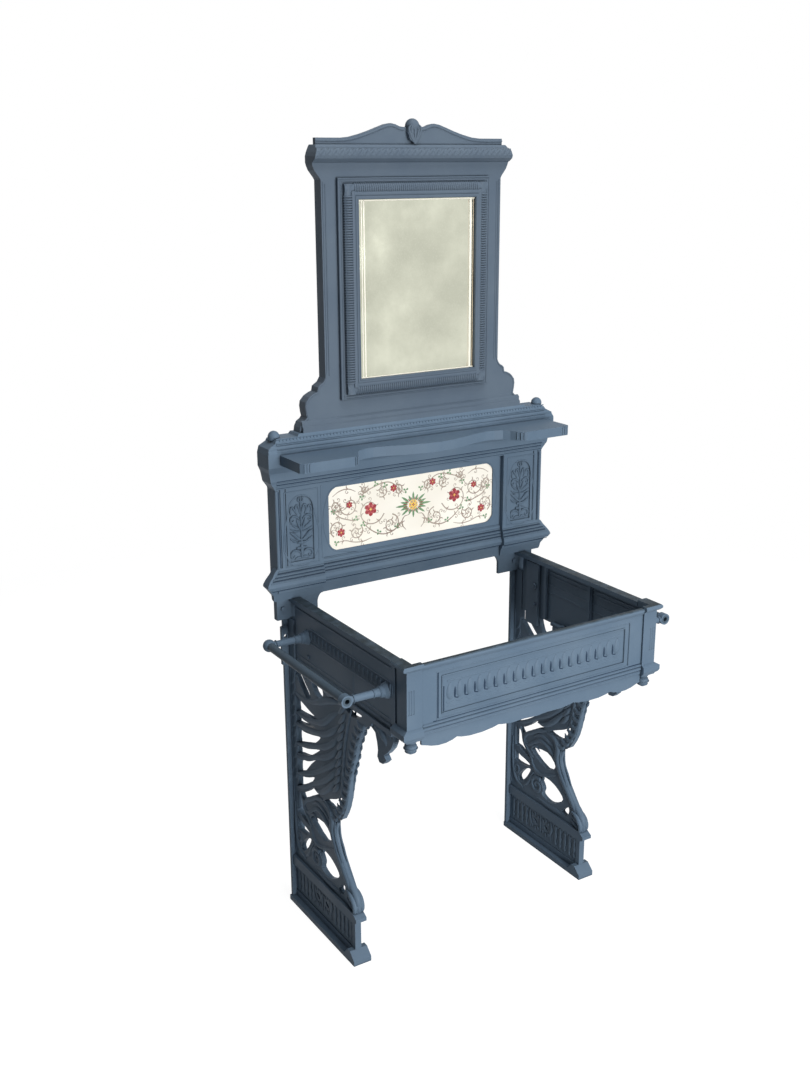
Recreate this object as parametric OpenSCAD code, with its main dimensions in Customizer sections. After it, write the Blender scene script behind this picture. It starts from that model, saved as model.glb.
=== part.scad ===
// Cast iron wash basin stand with a splashback, a shelf and a framed mirror.
// It stands on the floor against a wall. The basin or its marble top, which
// isn't part of it, rests on the open rim.
// +X is to the right, -Y to the front and +Z up. The origin is on the floor,
// under the middle of the stand. A place in depth is given as its distance
// from the wall, which is -Y before the whole is centred.

/* [Basin frame] */
// Height of the basin rim above the floor
rim_z = 760; // [730:1:790]
// Height of the side panels and of the apron above its skirt
apron_h = 148; // [138:1:158]
// Width over the two side panels
frame_w = 628; // [590:2:670]
// Distance from the wall to the front of the corner posts
frame_depth = 493; // [470:1:520]
// Wall of the cast plates
plate_t = 6; // [5:0.5:7]
// Width of the flat rim on the side panels
rim_w = 22; // [18:1:26]
// Thickness of the rim
rim_t = 10; // [8:1:12]
// Side of a corner post
post_w = 35; // [33:1:38]
// Overhang of a post's cap and base mouldings
cap_over = 11; // [8:1:13]
// Wall of the apron plate
apron_t = 5; // [4:0.5:6]
// Height of the scalloped skirt below the apron
skirt_h = 29; // [24:1:34]

/* [Legs] */
// Thickness of the openwork leg
leg_t = 12; // [10:1:14]
// Width of the leg's wall flange
flange_w = 37; // [35:1:40]
// Thickness of the leg's wall flange
flange_t = 8; // [7:0.5:10]
// Distance from the wall to the tip of the foot
foot_depth = 305; // [295:1:325]
// Height of the leg's plinth
plinth_h = 120; // [115:1:122]
// Height of the ear that carries the side panel
ear_h = 134; // [124:1:135]
// Radius of the wall screw holes
wall_hole_r = 4; // [3:0.1:4.5]
// Height of the wall screw holes below the rim
wall_hole_drop = 93; // [88:1:100]

/* [Towel rails] */
// Distance from the side panel to the middle of the rail
rail_out = 91; // [70:1:110]
// Height of the rail below the rim
rail_drop = 70; // [64:1:76]
// Radius of the rail
rail_r = 9; // [8:0.5:10]
// Radius of the rail's bore
rail_bore_r = 5; // [3:0.5:6]
// Distance from the wall to the rear arm
rail_rear = 92; // [88:1:94]
// Distance from the front of the corner posts back to the front arm
front_arm_back = 73; // [69:1:100]

/* [Splashback] */
// Height of the splashback above the rim
splash_h = 249; // [244:1:258]
// Overhang of the splashback past the side panels
splash_over = 38; // [36:1:44]
// Distance from the wall to the splashback's field
field_depth = 25; // [24:0.5:27]
// Distance from the wall to the front of its pilasters
pilaster_depth = 37; // [35:0.5:40]
// Width of a pilaster
pilaster_w = 111; // [106:1:116]
// Width of the tile
tile_w = 457; // [440:1:464]
// Height of the tile
tile_h = 152; // [146:1:156]
// Thickness of the tile
tile_t = 9; // [7:0.5:10]
// Width of the lip that holds the tile and the glass
lip_w = 7; // [5:0.5:9]
// Height of the lugs that hang below the splashback
lug_h = 51; // [46:1:54]

/* [Shoulder and shelf] */
// Height of the shoulder frieze
frieze_h = 115; // [112:1:120]
// Depth of the shoulder frieze at its middle
frieze_depth = 54; // [52:1:58]
// Thickness of the shelf
shelf_t = 21; // [17:0.5:22]
// Distance from the wall to the front of the shelf's ends
shelf_depth = 148; // [138:1:156]
// Width of the shelf
shelf_w = 690; // [676:1:694]

/* [Mirror] */
// Width of the mirror plate
mirror_w = 305; // [290:1:315]
// Height of the mirror plate
mirror_h = 381; // [365:1:386]
// Thickness of the mirror plate
mirror_t = 5; // [4:0.5:6]
// Thickness of the backboard
board_t = 12; // [10:0.5:13]
// Width of the mirror casting between its scrolled feet and its cornice
mirror_body_w = 445; // [430:1:455]
// Depth of the mirror casting's side walls
mirror_body_depth = 31; // [30:0.5:34]
// Height of the mirror casting's sides up to the cornice
mirror_body_h = 527; // [520:1:535]
// Height of the cornice and pediment up to the finial's tip
pediment_h = 100; // [94:1:106]

/* [Fasteners] */
// Radius of the frame bolts
bolt_r = 3; // [2.5:0.25:3.25]
// Radial clearance of a bolt in its hole
bolt_gap = 0.4; // [0.2:0.1:0.5]
// Radius of the small screws
screw_r = 1.8; // [1.4:0.1:2]
// Radial clearance of a tapped or pressed fit
fit_gap = 0.1; // [0.05:0.05:0.2]

/* [Hidden] */

iron = "slategray";
steel = "dimgray";
round_fn = 32;

// Frame, and how its depth and height compare with the usual stand's
half_w = frame_w / 2;
panel_z = rim_z - apron_h;
depth_k = frame_depth / 493;
height_k = panel_z / 612;
post_x = half_w - post_w;
post_u = frame_depth - post_w;
panel_rear = 34.3;
panel_front = post_u - 8;
rim_step_u = pilaster_depth + 11;
cap_rise = 4;
cap_t = 13;
cap_reach = frame_depth + 7;
post_foot_z = panel_z - 7;
apron_front = frame_depth - 4;
apron_x = post_x - 0.3;
joint_lug_h = 95;
joint_lug_z = panel_z + 18;
joint_bolt_z = [joint_lug_z + 20, joint_lug_z + joint_lug_h - 20];
seat_t = 6;
rib_u = [126 * depth_k, 284 * depth_k];
seat_u = [160 * depth_k, 250 * depth_k, 330 * depth_k];
finial_x = half_w - 17;
finial_u = frame_depth - 14;
finial_spigot_r = 4;

// Legs
web_x = half_w + 4 - leg_t;
head_x = web_x - 12;
stile_u = 34;
stile_foot_u = 22;
flange_x = half_w + 16 - flange_w;
ear_t = 8;
ear_x = half_w - plate_t - ear_t;
ear_rear = 58;
ear_front = 104;
leg_bar_t = 10;
bar_x = half_w - 20;
leg_bolt_u = [200 * depth_k, 395 * depth_k];
leg_bolt_x = half_w - 13.5;
head_bolt_l = 20;
leg_side_bolt_u = 94;
leg_side_bolt_z = panel_z + 32;
base_t = 12;

// Towel rails
rail_z = rim_z - rail_drop;
rail_front = frame_depth - front_arm_back;
arm_spigot_r = bolt_r + 1;

// Splashback
splash_x = half_w + splash_over;
splash_z = rim_z - 1;
splash_top = splash_z + splash_h;
pilaster_x = splash_x - pilaster_w;
lug_u = flange_t;
lug_t = 7;
lug_outer = splash_x - 5;
lug_inner = lug_outer - 100;
lug_bolt_x = [lug_inner + 46, lug_outer - 14];
fillet_r = 24;
lug_bolt_z = rim_z - 25;
tile_mid_z = splash_top - 88;
tile_seat = field_depth - 3;
strip_t = 3;
strip_x = tile_w / 2 + 6.5;
strip_hole_z = tile_h / 2 - 16;
strip_back = tile_seat - tile_t - strip_t;

// Shoulder and shelf
frieze_top = splash_top + frieze_h;
shelf_z = splash_top + 57;
seam_wall = 6;
seam_bolt_u = 12;
frieze_bolt_x = [-250, 0, 250];
mirror_bolt_x = [-170, 170];
shelf_screw_x = [-280, 0, 280];

// Mirror
body_x = mirror_body_w / 2;
body_top = frieze_top + mirror_body_h;
sight_z = frieze_top + 285;
glass_front = mirror_body_depth + 11;
glass_back = glass_front - mirror_t;
board_back = glass_back - board_t;
mirror_back = 3;
ring_w = 42.5;
sight_x = mirror_w / 2 - lip_w;
sight_h = mirror_h / 2 - lip_w;
mirror_screws = [for (x = [-1, 1], z = [-130, 0, 130]) [x * (mirror_w / 2 + 11), sight_z + z]];

top_z = body_top + pediment_h;
depth_all = cap_reach;

// ---- helpers ----

// Points of a closed smooth curve through p, n to each stretch
function curve(p, n = 3) = [
    for (i = [0 : len(p) - 1], k = [0 : n - 1])
        let (m = len(p), t = k / n, a = p[(i + m - 1) % m], b = p[i],
             c = p[(i + 1) % m], d = p[(i + 2) % m])
            0.5 * (2 * b + (c - a) * t + (2 * a - 5 * b + 4 * c - d) * t * t
                   + (3 * b - a - 3 * c + d) * t * t * t)
];

// Leg outlines are drawn for a stand of the usual height and depth
function on_leg(p) = [for (q = p) [q[0] * depth_k, q[1] * height_k]];

// Puts a shape built from the wall forward in the middle of the stand
module stand() { translate([0, depth_all / 2, 0]) children(); }

module both_sides() {
    children();
    mirror([1, 0, 0]) children();
}

// Side view shape (distance from the wall, height) from x0 to x1
module along_x(x0, x1) {
    translate([x1, 0, 0]) rotate([90, 0, -90]) linear_extrude(x1 - x0) children();
}

// Front view shape (x, height) from u0 to u1 in front of the wall
module along_u(u0, u1) {
    translate([0, -u0, 0]) rotate([90, 0, 0]) linear_extrude(u1 - u0) children();
}

// Plan shape (x, distance from the wall) from z0 to z1
module along_z(z0, z1) {
    translate([0, 0, z0]) mirror([0, 1, 0]) linear_extrude(z1 - z0) children();
}

module block(x0, x1, u0, u1, z0, z1) {
    translate([x0, -u1, z0]) cube([x1 - x0, u1 - u0, z1 - z0]);
}

module rod_x(x0, x1, u, z, r) {
    translate([x0, -u, z]) rotate([0, 90, 0]) cylinder(h = x1 - x0, r = r, $fn = round_fn);
}

module rod_u(x, u0, u1, z, r) {
    translate([x, -u0, z]) rotate([90, 0, 0]) cylinder(h = u1 - u0, r = r, $fn = round_fn);
}

module rod_z(x, u, z0, z1, r) {
    translate([x, -u, z0]) cylinder(h = z1 - z0, r = r, $fn = round_fn);
}

module rounded_rect(w, h, r) {
    translate([-w / 2, -h / 2 + r]) square([w, h - 2 * r]);
    translate([-w / 2 + r, -h / 2]) square([w - 2 * r, h]);
    for (x = [-1, 1], y = [-1, 1])
        translate([x * (w / 2 - r), y * (h / 2 - r)]) circle(r, $fn = round_fn);
}

// Bolt along +Z from its head at z = -head_t, with an optional nut
module bolt(grip, nut = true) {
    head_t = 3.6;
    head_r = 1.6 * bolt_r;
    nut_t = 4.5;
    translate([0, 0, -head_t]) cylinder(h = head_t, r = head_r, $fn = round_fn);
    cylinder(h = grip + (nut ? nut_t + 1.5 : 0), r = bolt_r, $fn = round_fn);
    if (nut)
        translate([0, 0, grip]) difference() {
            cylinder(h = nut_t, r = head_r, $fn = 6);
            translate([0, 0, -1]) cylinder(h = nut_t + 2, r = bolt_r + fit_gap, $fn = round_fn);
        }
}

// Lines up +Z with +X, or with the way away from the wall
module to_x(x, u, z) { translate([x, -u, z]) rotate([0, 90, 0]) children(); }
module to_front(x, u, z) { translate([x, -u, z]) rotate([90, 0, 0]) children(); }
module to_wall(x, u, z) { translate([x, -u, z]) rotate([-90, 0, 0]) children(); }

// ---- legs ----

// Winged beast whose paw stands on the plinth and whose head hangs in front
module leg_outline() {
    polygon(on_leg([
        [8, 90], [280, 90], [292, 121], [294, 135], [291, 146], [283, 156], [268, 160], [254, 167],
        [252, 178], [242, 187], [236, 197], [217, 220], [206, 240], [198, 260], [196, 278],
        [205, 300], [235, 320], [248, 340], [258, 360], [266, 385], [270, 410], [274, 430],
        [280, 455], [294, 484], [301, 508], [312, 535], [321, 551], [326, 564], [338, 578],
        [350, 585], [362, 590], [368, 600], [368, 612], [8, 612]
    ]));
}

// Head of the beast, which hangs nearer to the middle than its wing
module head_outline() {
    polygon(on_leg([
        [300, 612], [312, 584], [331, 583], [347, 581], [362, 575], [369, 556], [372, 540],
        [369, 525], [377, 515], [391, 517], [404, 529], [395, 538], [407, 547], [424, 565],
        [432, 581], [433, 603], [433, 612]
    ]));
}

// Gaps between the feathers, the scrolls and the stile, as closed curves
leg_gaps = [
    [[20, 534], [60, 528], [105, 519], [138, 514], [105, 501], [60, 499], [20, 496]],
    [[20, 490], [70, 487], [122, 490], [70, 474], [20, 470]],
    [[20, 458], [67, 458], [110, 467], [146, 476], [120, 452], [88, 434], [55, 423], [20, 414]],
    [[20, 410], [65, 418], [110, 436], [148, 450], [118, 426], [84, 405], [50, 396], [20, 390]],
    [[20, 376], [60, 384], [92, 403], [124, 415], [100, 393], [78, 370], [55, 350], [20, 340]],
    [[20, 336], [58, 343], [86, 353], [113, 365], [96, 344], [70, 323], [48, 312], [20, 306]],
    [[138, 322], [132, 336], [106, 340], [88, 324], [62, 305], [42, 298], [50, 284], [72, 286],
     [90, 301], [112, 314]],
    [[20, 292], [44, 288], [52, 262], [66, 245], [87, 230], [58, 233], [38, 240], [20, 246]],
    [[86, 208], [64, 197], [20, 198], [20, 226], [46, 219], [66, 216]],
    [[88, 197], [74, 195], [58, 183], [44, 168], [38, 155], [47, 147], [62, 158], [77, 176]],
    [[218, 173], [196, 192], [168, 201], [142, 201], [112, 191], [128, 182], [139, 166],
     [136, 149], [165, 141], [192, 151]],
    [[185, 247], [152, 272], [88, 256], [150, 226]],
    [[238, 372], [218, 340], [196, 327], [158, 330], [184, 345], [212, 358]],
    [[240, 162], [224, 151], [214, 138], [232, 134], [242, 148]],
    [[256, 594], [285, 582], [314, 589], [328, 600], [292, 598]],
    [[106, 624], [150, 624], [158, 600], [163, 580], [140, 568], [116, 582]],
    [[20, 622], [50, 622], [66, 594], [108, 556], [88, 545], [62, 563], [40, 582], [20, 590]],
];

module leg_web() {
    difference() {
        leg_outline();
        for (gap = leg_gaps) polygon(curve(on_leg(gap)));
    }
}

module foot_profile() {
    polygon([[0, 0], [foot_depth, 0], [foot_depth, base_t], [foot_depth - 18, 28],
             [foot_depth - 30, 28], [foot_depth - 43, base_t], [0, base_t]]);
}

module leg() {
    cap_z = plinth_h - 23;
    post_front = foot_depth - 18;
    difference() {
        union() {
            along_x(web_x, web_x + leg_t) leg_web();
            along_x(head_x, web_x + 1) head_outline();
            along_x(web_x, web_x + leg_t) polygon(concat(
                on_leg([[0, 0], [stile_foot_u, 0], [stile_foot_u, 290], [stile_u, 320]]),
                [[stile_u, rim_z - lug_h + 1], [0, rim_z - lug_h + 1]]));
            // Plinth panel, its framed border, cap and base
            block(web_x + 1, web_x + leg_t - 1, 0, post_front, 0, plinth_h - 10);
            block(web_x - 1, web_x + leg_t + 2, post_front - 13, post_front, base_t, cap_z);
            block(web_x - 2, web_x + leg_t + 2, 0, post_front, base_t, base_t + 14);
            along_x(web_x - 6, web_x + leg_t + 8)
                polygon([[0, cap_z], [post_front + 5, cap_z], [foot_depth - 2, cap_z + 6],
                         [foot_depth - 2, cap_z + 14], [post_front, plinth_h], [0, plinth_h]]);
            along_x(flange_x - 2, flange_x + flange_w + 4) foot_profile();
            // Wall flange, wider at the rim, and its pad behind the splashback's lug
            block(flange_x, flange_x + flange_w, 0, flange_t, 0, rim_z - lug_h + 1);
            block(flange_x, flange_x + flange_w + 4.5, 0, flange_t, panel_z - 12, rim_z - lug_h - 20);
            block(lug_bolt_x[0] - 9, lug_bolt_x[1] + 9, 0, flange_t, rim_z - lug_h + 1, rim_z - 3);
            // Bar and ear that carry the side panel
            block(bar_x, web_x + leg_t + 1, seat_u[0] + 10, panel_front - 6, panel_z - leg_bar_t,
                  panel_z);
            block(ear_x, ear_x + ear_t, ear_rear, ear_front, panel_z - 22, panel_z + ear_h);
            block(ear_x, web_x + 1, ear_rear, ear_front - 5, panel_z - 22, panel_z);
        }
        for (x = lug_bolt_x) rod_u(x, -1, flange_t + 1, lug_bolt_z, bolt_r + fit_gap);
        rod_z(leg_bolt_x, leg_bolt_u[0], panel_z - leg_bar_t - 1, panel_z + 1, bolt_r + bolt_gap);
        // The front bolt is screwed into the beast's head
        rod_z(leg_bolt_x, leg_bolt_u[1], panel_z - head_bolt_l - 2, panel_z + 1, bolt_r + fit_gap);
        rod_x(ear_x - 1, ear_x + ear_t + 1, leg_side_bolt_u, leg_side_bolt_z, bolt_r + bolt_gap);
        rod_x(ear_x - 1, ear_x + ear_t + 1, rail_rear, rail_z, arm_spigot_r + bolt_gap);
        rod_u(flange_x + flange_w - 5, -1, flange_t + 1, rim_z - wall_hole_drop, wall_hole_r);
        // Small piercings between the leaves on the plinth
        for (u = [113, 155])
            along_x(web_x - 3, web_x + leg_t + 3)
                translate([u, plinth_h / 2 + 4]) rotate(-35) scale([1, 0.45]) circle(9, $fn = 12);
    }
}

module left_leg() { color(iron) stand() mirror([1, 0, 0]) leg(); }

module right_leg() { color(iron) stand() leg(); }

// ---- frame round the basin ----

module side_panel() {
    difference() {
        union() {
            block(half_w - plate_t, half_w, panel_rear, panel_front, panel_z, rim_z - rim_t + 1);
            // Rim, set down where it runs on under the splashback
            along_x(half_w - 18, half_w + rim_w - 18) polygon([
                [lug_u + lug_t, rim_z - rim_t], [panel_front, rim_z - rim_t],
                [panel_front, rim_z], [rim_step_u, rim_z], [rim_step_u, splash_z - 0.2],
                [lug_u + lug_t, splash_z - 0.2]]);
            for (u = rib_u)
                block(half_w - plate_t - 8, half_w, u, u + 8, panel_z + seat_t, rim_z - rim_t + 1);
            // Seats on the leg's bar
            block(half_w - 18, half_w, seat_u[0], seat_u[1], panel_z, panel_z + seat_t);
            block(half_w - 18, half_w, seat_u[2], panel_front, panel_z, panel_z + seat_t);
            // Lug that meets the corner post
            block(half_w - 28, half_w, panel_front - 6, panel_front, joint_lug_z,
                  joint_lug_z + joint_lug_h);
        }
        for (u = leg_bolt_u)
            rod_z(leg_bolt_x, u, panel_z - 1, panel_z + seat_t + 1, bolt_r + bolt_gap);
        rod_x(half_w - plate_t - 1, half_w + 1, leg_side_bolt_u, leg_side_bolt_z,
              bolt_r + bolt_gap);
        for (u = [rail_rear, rail_front])
            rod_x(half_w - plate_t - 1, half_w + 1, u, rail_z, arm_spigot_r + bolt_gap);
        for (z = joint_bolt_z)
            rod_u(finial_x, panel_front - 7, panel_front + 1, z, bolt_r + bolt_gap);
    }
}

module left_side_panel() { color(iron) stand() mirror([1, 0, 0]) side_panel(); }

module right_side_panel() { color(iron) stand() side_panel(); }

// Plan of the post's moulded ends, without their outer profile
module post_plan(inner_x, inner_u) {
    difference() {
        translate([post_x, panel_front])
            square([half_w + cap_over + 1 - post_x, cap_reach + 1 - panel_front]);
        square([inner_x, inner_u]);
    }
}

// Moulding that runs round the post's two outer sides
module post_moulding(inner_x, inner_u, z0, p) {
    intersection() {
        along_z(z0 - 1, z0 + 60) post_plan(inner_x, inner_u);
        along_x(post_x - 1, half_w + cap_over + 1)
            polygon(concat([[panel_front - 1, z0]], [for (q = p) [frame_depth + q[0] * 7 / 11, z0 + q[1]]],
                           [[panel_front - 1, z0 + p[len(p) - 1][1]]]));
        along_u(panel_front - 1, cap_reach + 1)
            polygon(concat([[post_x - 1, z0]],
                           [for (q = p) [half_w + q[0] * cap_over / 11, z0 + q[1]]],
                           [[post_x - 1, z0 + p[len(p) - 1][1]]]));
    }
}

module corner_post() {
    lug_z1 = joint_lug_z + joint_lug_h;
    difference() {
        union() {
            block(post_x, half_w, frame_depth - 7, frame_depth, post_foot_z, rim_z + cap_rise);
            block(half_w - 7, half_w, post_u, frame_depth, post_foot_z, rim_z + cap_rise);
            block(post_x, post_x + 7, post_u, frame_depth, joint_lug_z, lug_z1);
            block(post_x, half_w - 3, panel_front, post_u, joint_lug_z, lug_z1);
            block(half_w - 10, half_w - 3, panel_front, post_u, post_foot_z, rim_z);
            block(post_x, half_w, post_u, frame_depth, post_foot_z, post_foot_z + 7);
            post_moulding(half_w - 5, frame_depth - 4, post_foot_z,
                          [[1, 0], [4, 4], [8, 6], [11, 11], [11, 21], [6, 24], [-1, 27]]);
            post_moulding(half_w - 16, frame_depth - 4, rim_z + cap_rise - cap_t,
                          [[-1, 0], [4, 1], [9, 4], [11, 6], [11, 10], [8, 13]]);
        }
        rod_z(finial_x, finial_u, post_foot_z - 1, post_foot_z + 8, finial_spigot_r + fit_gap);
        for (z = joint_bolt_z) {
            rod_x(post_x - 1, post_x + 8, post_u + 11, z, bolt_r + bolt_gap);
            rod_u(finial_x, panel_front - 1, post_u + 1, z, bolt_r + bolt_gap);
        }
        // Three flutes down the front
        for (x = [4.5, 10, 15.5])
            rod_z(half_w - x, frame_depth + 1, panel_z + 51, rim_z - 47, 2);
    }
}

module left_corner_post() { color(iron) stand() mirror([1, 0, 0]) corner_post(); }

module right_corner_post() { color(iron) stand() corner_post(); }

// Turned drop screwed into the foot of a corner post
module drop_finial() {
    translate([finial_x, -finial_u, post_foot_z]) rotate_extrude($fn = round_fn)
        polygon([[0, -30], [5, -29], [10, -25], [13, -18], [12, -11], [8, -7], [8, -5], [12, -4],
                 [12, 0], [finial_spigot_r, 0], [finial_spigot_r, 13], [0, 13]]);
}

module left_drop_finial() { color(iron) stand() mirror([1, 0, 0]) drop_finial(); }

module right_drop_finial() { color(iron) stand() drop_finial(); }

// Half of the scalloped lower edge, from the middle outwards
skirt_edge = [[0, 28], [30, 26], [62, 27], [86, 24], [96, 22], [108, 25], [135, 28], [165, 28],
              [186, 25], [196, 22], [206, 26], [222, 29], [240, 29], [256, 26], [268, 22]];

module front_apron() {
    skirt_z = panel_z;
    edge = [for (q = skirt_edge) [q[0] * apron_x / 278.7, skirt_z - q[1] * skirt_h / 28]];
    rear = apron_front - apron_t;
    color(iron) stand() difference() {
        union() {
            both_sides() along_u(rear, apron_front)
                polygon(concat(edge, [[apron_x, skirt_z - 19 * skirt_h / 28], [apron_x, rim_z],
                                      [0, rim_z]]));
            along_x(-apron_x, apron_x) polygon([
                [rear, rim_z - 14], [apron_front, rim_z - 14], [apron_front + 3, rim_z - 10],
                [apron_front + 5, rim_z - 6], [apron_front + 5, rim_z - 2],
                [apron_front + 3, rim_z], [rear, rim_z]]);
            // Reeds above the skirt
            along_x(-apron_x, apron_x) polygon([
                [rear, skirt_z], [apron_front + 1, skirt_z], [apron_front + 2, skirt_z + 4],
                [apron_front + 1, skirt_z + 7], [apron_front + 3, skirt_z + 9],
                [apron_front + 3, skirt_z + 14], [apron_front + 1, skirt_z + 16],
                [apron_front + 3, skirt_z + 18], [apron_front + 2, skirt_z + 21],
                [apron_front, skirt_z + 22], [rear, skirt_z + 22]]);
            both_sides() block(apron_x - 7, apron_x, post_u, rear + 1, joint_lug_z,
                               joint_lug_z + joint_lug_h);
        }
        // Sunk panel in two steps
        block(-(apron_x - 36), apron_x - 36, apron_front - 1.5, apron_front + 9,
              skirt_z + 25, rim_z - 25);
        block(-(apron_x - 49), apron_x - 49, apron_front - 2.5, apron_front + 9,
              skirt_z + 36, rim_z - 36);
        both_sides() for (z = joint_bolt_z)
            rod_x(apron_x - 8, apron_x + 1, post_u + 11, z, bolt_r + bolt_gap);
    }
}

// ---- towel rails ----

module towel_arm(u, passes) {
    difference() {
        union() {
            translate([half_w, -u, rail_z]) rotate([0, 90, 0]) rotate_extrude($fn = round_fn)
                polygon([[0, 0], [17, 0], [16, 4], [12, 9], [12, 14], [9, 20], [7.5, 34],
                         [7, rail_out - 9], [0, rail_out - 9]]);
            children();
            rod_x(half_w - passes, half_w + 1, u, rail_z, arm_spigot_r);
        }
        rod_u(half_w + rail_out, rail_rear - 4, rail_front + 8, rail_z, rail_r + fit_gap);
    }
}

module rear_towel_arm() {
    towel_arm(rail_rear, plate_t + ear_t + 6)
        translate([half_w + rail_out, -rail_rear, rail_z])
            sphere(r = rail_r + 4.5, $fn = round_fn);
}

module front_towel_arm() {
    towel_arm(rail_front, plate_t + 6)
        rod_u(half_w + rail_out, rail_front - 8, rail_front + 7, rail_z, rail_r + 3.5);
}

module left_rear_towel_arm() { color(iron) stand() mirror([1, 0, 0]) rear_towel_arm(); }

module left_front_towel_arm() { color(iron) stand() mirror([1, 0, 0]) front_towel_arm(); }

module right_rear_towel_arm() { color(iron) stand() rear_towel_arm(); }

module right_front_towel_arm() { color(iron) stand() front_towel_arm(); }

module towel_rail() {
    difference() {
        rod_u(half_w + rail_out, rail_rear - 4, rail_front + 7, rail_z, rail_r);
        rod_u(half_w + rail_out, rail_rear + 20, rail_front + 8, rail_z, rail_bore_r);
    }
}

module left_towel_rail() { color(iron) stand() mirror([1, 0, 0]) towel_rail(); }

module right_towel_rail() { color(iron) stand() towel_rail(); }

module arm_nut(u, x) {
    difference() {
        to_x(x - 5, u, rail_z) cylinder(h = 5, r = 2 * arm_spigot_r, $fn = 6);
        rod_x(x - 6, x + 1, u, rail_z, arm_spigot_r + fit_gap);
    }
}

module towel_arm_nuts() {
    color(steel) stand() both_sides() {
        arm_nut(rail_rear, ear_x);
        arm_nut(rail_front, half_w - plate_t);
    }
}

// ---- splashback ----

// Base moulding: how far it stands out in front and at the sides by height
splash_base = [[-9, 0], [-5, 16], [-1, 27], [7, 31], [9, 38], [7, 44], [4, 52], [3, 60], [0, 66],
               [0, 76]];
splash_ends = [[6, 0], [8, 4], [9, 14], [20, 29], [28, 38], [27, 43], [21, 52], [12, 62], [5, 72],
               [0, 76]];

module base_moulding(x, depth) {
    intersection() {
        along_x(-splash_x - 30, splash_x + 30)
            polygon(concat([[field_depth - 6, splash_z]],
                           [for (q = splash_base) [depth + q[0], splash_z + q[1]]],
                           [[field_depth - 6, splash_z + 76]]));
        along_u(0, depth + 12) polygon(concat(
            [for (q = splash_ends) [x + q[0], splash_z + q[1]]],
            [for (i = [len(splash_ends) - 1 : -1 : 0])
                [-x - splash_ends[i][0], splash_z + splash_ends[i][1]]]));
    }
}

module arched_panel(w, z0, z1) {
    translate([-w / 2, z0]) square([w, z1 - z0 - w / 2]);
    translate([0, z1 - w / 2]) circle(w / 2, $fn = 48);
}

module splashback() {
    panel_mid = pilaster_x + pilaster_w / 2 - 4.5;
    back = field_depth - 6;
    color(iron) stand() difference() {
        union() {
            block(-splash_x, splash_x, back, field_depth, splash_z, splash_top);
            both_sides() {
                block(splash_x - plate_t, splash_x, 0, pilaster_depth, splash_z + 26, splash_top);
                block(pilaster_x, splash_x, back, pilaster_depth, splash_z + 20, splash_top);
                // Lug over the leg's pad
                block(lug_inner, lug_outer, lug_u, lug_u + lug_t, rim_z - lug_h, splash_z + 10);
                block(lug_outer - 4, lug_outer, 0, lug_u + 1, rim_z - lug_h, splash_z + 10);
                along_u(lug_u, lug_u + lug_t)
                    translate([lug_inner - fillet_r, splash_z - fillet_r]) difference() {
                        square(fillet_r + 0.5);
                        circle(fillet_r, $fn = round_fn);
                    }
            }
            block(-lug_outer, lug_outer, 0, field_depth, splash_z, splash_z + 10);
            base_moulding(pilaster_x, field_depth + 3);
            difference() {
                base_moulding(splash_x, pilaster_depth);
                block(-pilaster_x, pilaster_x, 0, 99, splash_z - 1, splash_z + 80);
            }
            // Flange that the shoulder stands on
            block(-splash_x, splash_x, 0, field_depth, splash_top - seam_wall, splash_top);
        }
        // Hollow backs of the pilasters
        both_sides() block(pilaster_x + 6, splash_x - plate_t, -1, pilaster_depth - 6,
                           splash_z + 40, splash_top - seam_wall);
        both_sides() translate([panel_mid, 0]) along_u(pilaster_depth - 3, pilaster_depth + 9)
            arched_panel(58, splash_z + 85, splash_top - 18);
        // Grooves up both edges
        both_sides() for (x = [12, 25])
            block(splash_x - x, splash_x - x + 3, pilaster_depth - 2, pilaster_depth + 1,
                  splash_z + 76, splash_top + 1);
        // Opening and seat for the tile
        along_u(-1, 99) translate([0, tile_mid_z])
            rounded_rect(tile_w - 2 * lip_w - 5, tile_h - 2 * lip_w + 5, 17);
        block(-tile_w / 2 - 1, tile_w / 2 + 1, -1, tile_seat, tile_mid_z - tile_h / 2 - 1,
              tile_mid_z + tile_h / 2 + 1);
        both_sides() for (x = lug_bolt_x) rod_u(x, -1, 99, lug_bolt_z, bolt_r + bolt_gap);
        for (x = frieze_bolt_x) rod_z(x, seam_bolt_u, splash_top - 9, splash_top + 1, bolt_r + bolt_gap);
        both_sides() for (s = [-1, 1])
            rod_u(strip_x, back - 1, field_depth - 2, tile_mid_z + s * strip_hole_z,
                  screw_r + fit_gap);
    }
}

module splash_tile() {
    color("beige") stand() block(-tile_w / 2, tile_w / 2, tile_seat - tile_t, tile_seat,
                                 tile_mid_z - tile_h / 2, tile_mid_z + tile_h / 2);
}

module tile_retaining_strips() {
    color(steel) stand() difference() {
        both_sides() {
            block(strip_x - 16, strip_x + 5, strip_back, strip_back + strip_t,
                  tile_mid_z - tile_h / 2 + 2, tile_mid_z + tile_h / 2 - 2);
            // Distance pieces between the strip and the plate
            for (s = [-1, 1])
                rod_u(strip_x, strip_back + 1, field_depth - plate_t, tile_mid_z + s * strip_hole_z,
                      4.5);
        }
        both_sides() for (s = [-1, 1])
            rod_u(strip_x, 0, field_depth, tile_mid_z + s * strip_hole_z, screw_r + 2 * fit_gap);
    }
}

module small_screw(grip) {
    translate([0, 0, -1.8]) cylinder(h = 1.8, r = 3.6, $fn = round_fn);
    cylinder(h = grip, r = screw_r, $fn = round_fn);
}

module tile_strip_screws() {
    color(steel) stand() both_sides() for (s = [-1, 1])
        to_front(strip_x, strip_back, tile_mid_z + s * strip_hole_z)
            small_screw(field_depth - 3 - strip_back);
}

// ---- shoulder and shelf ----

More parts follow.
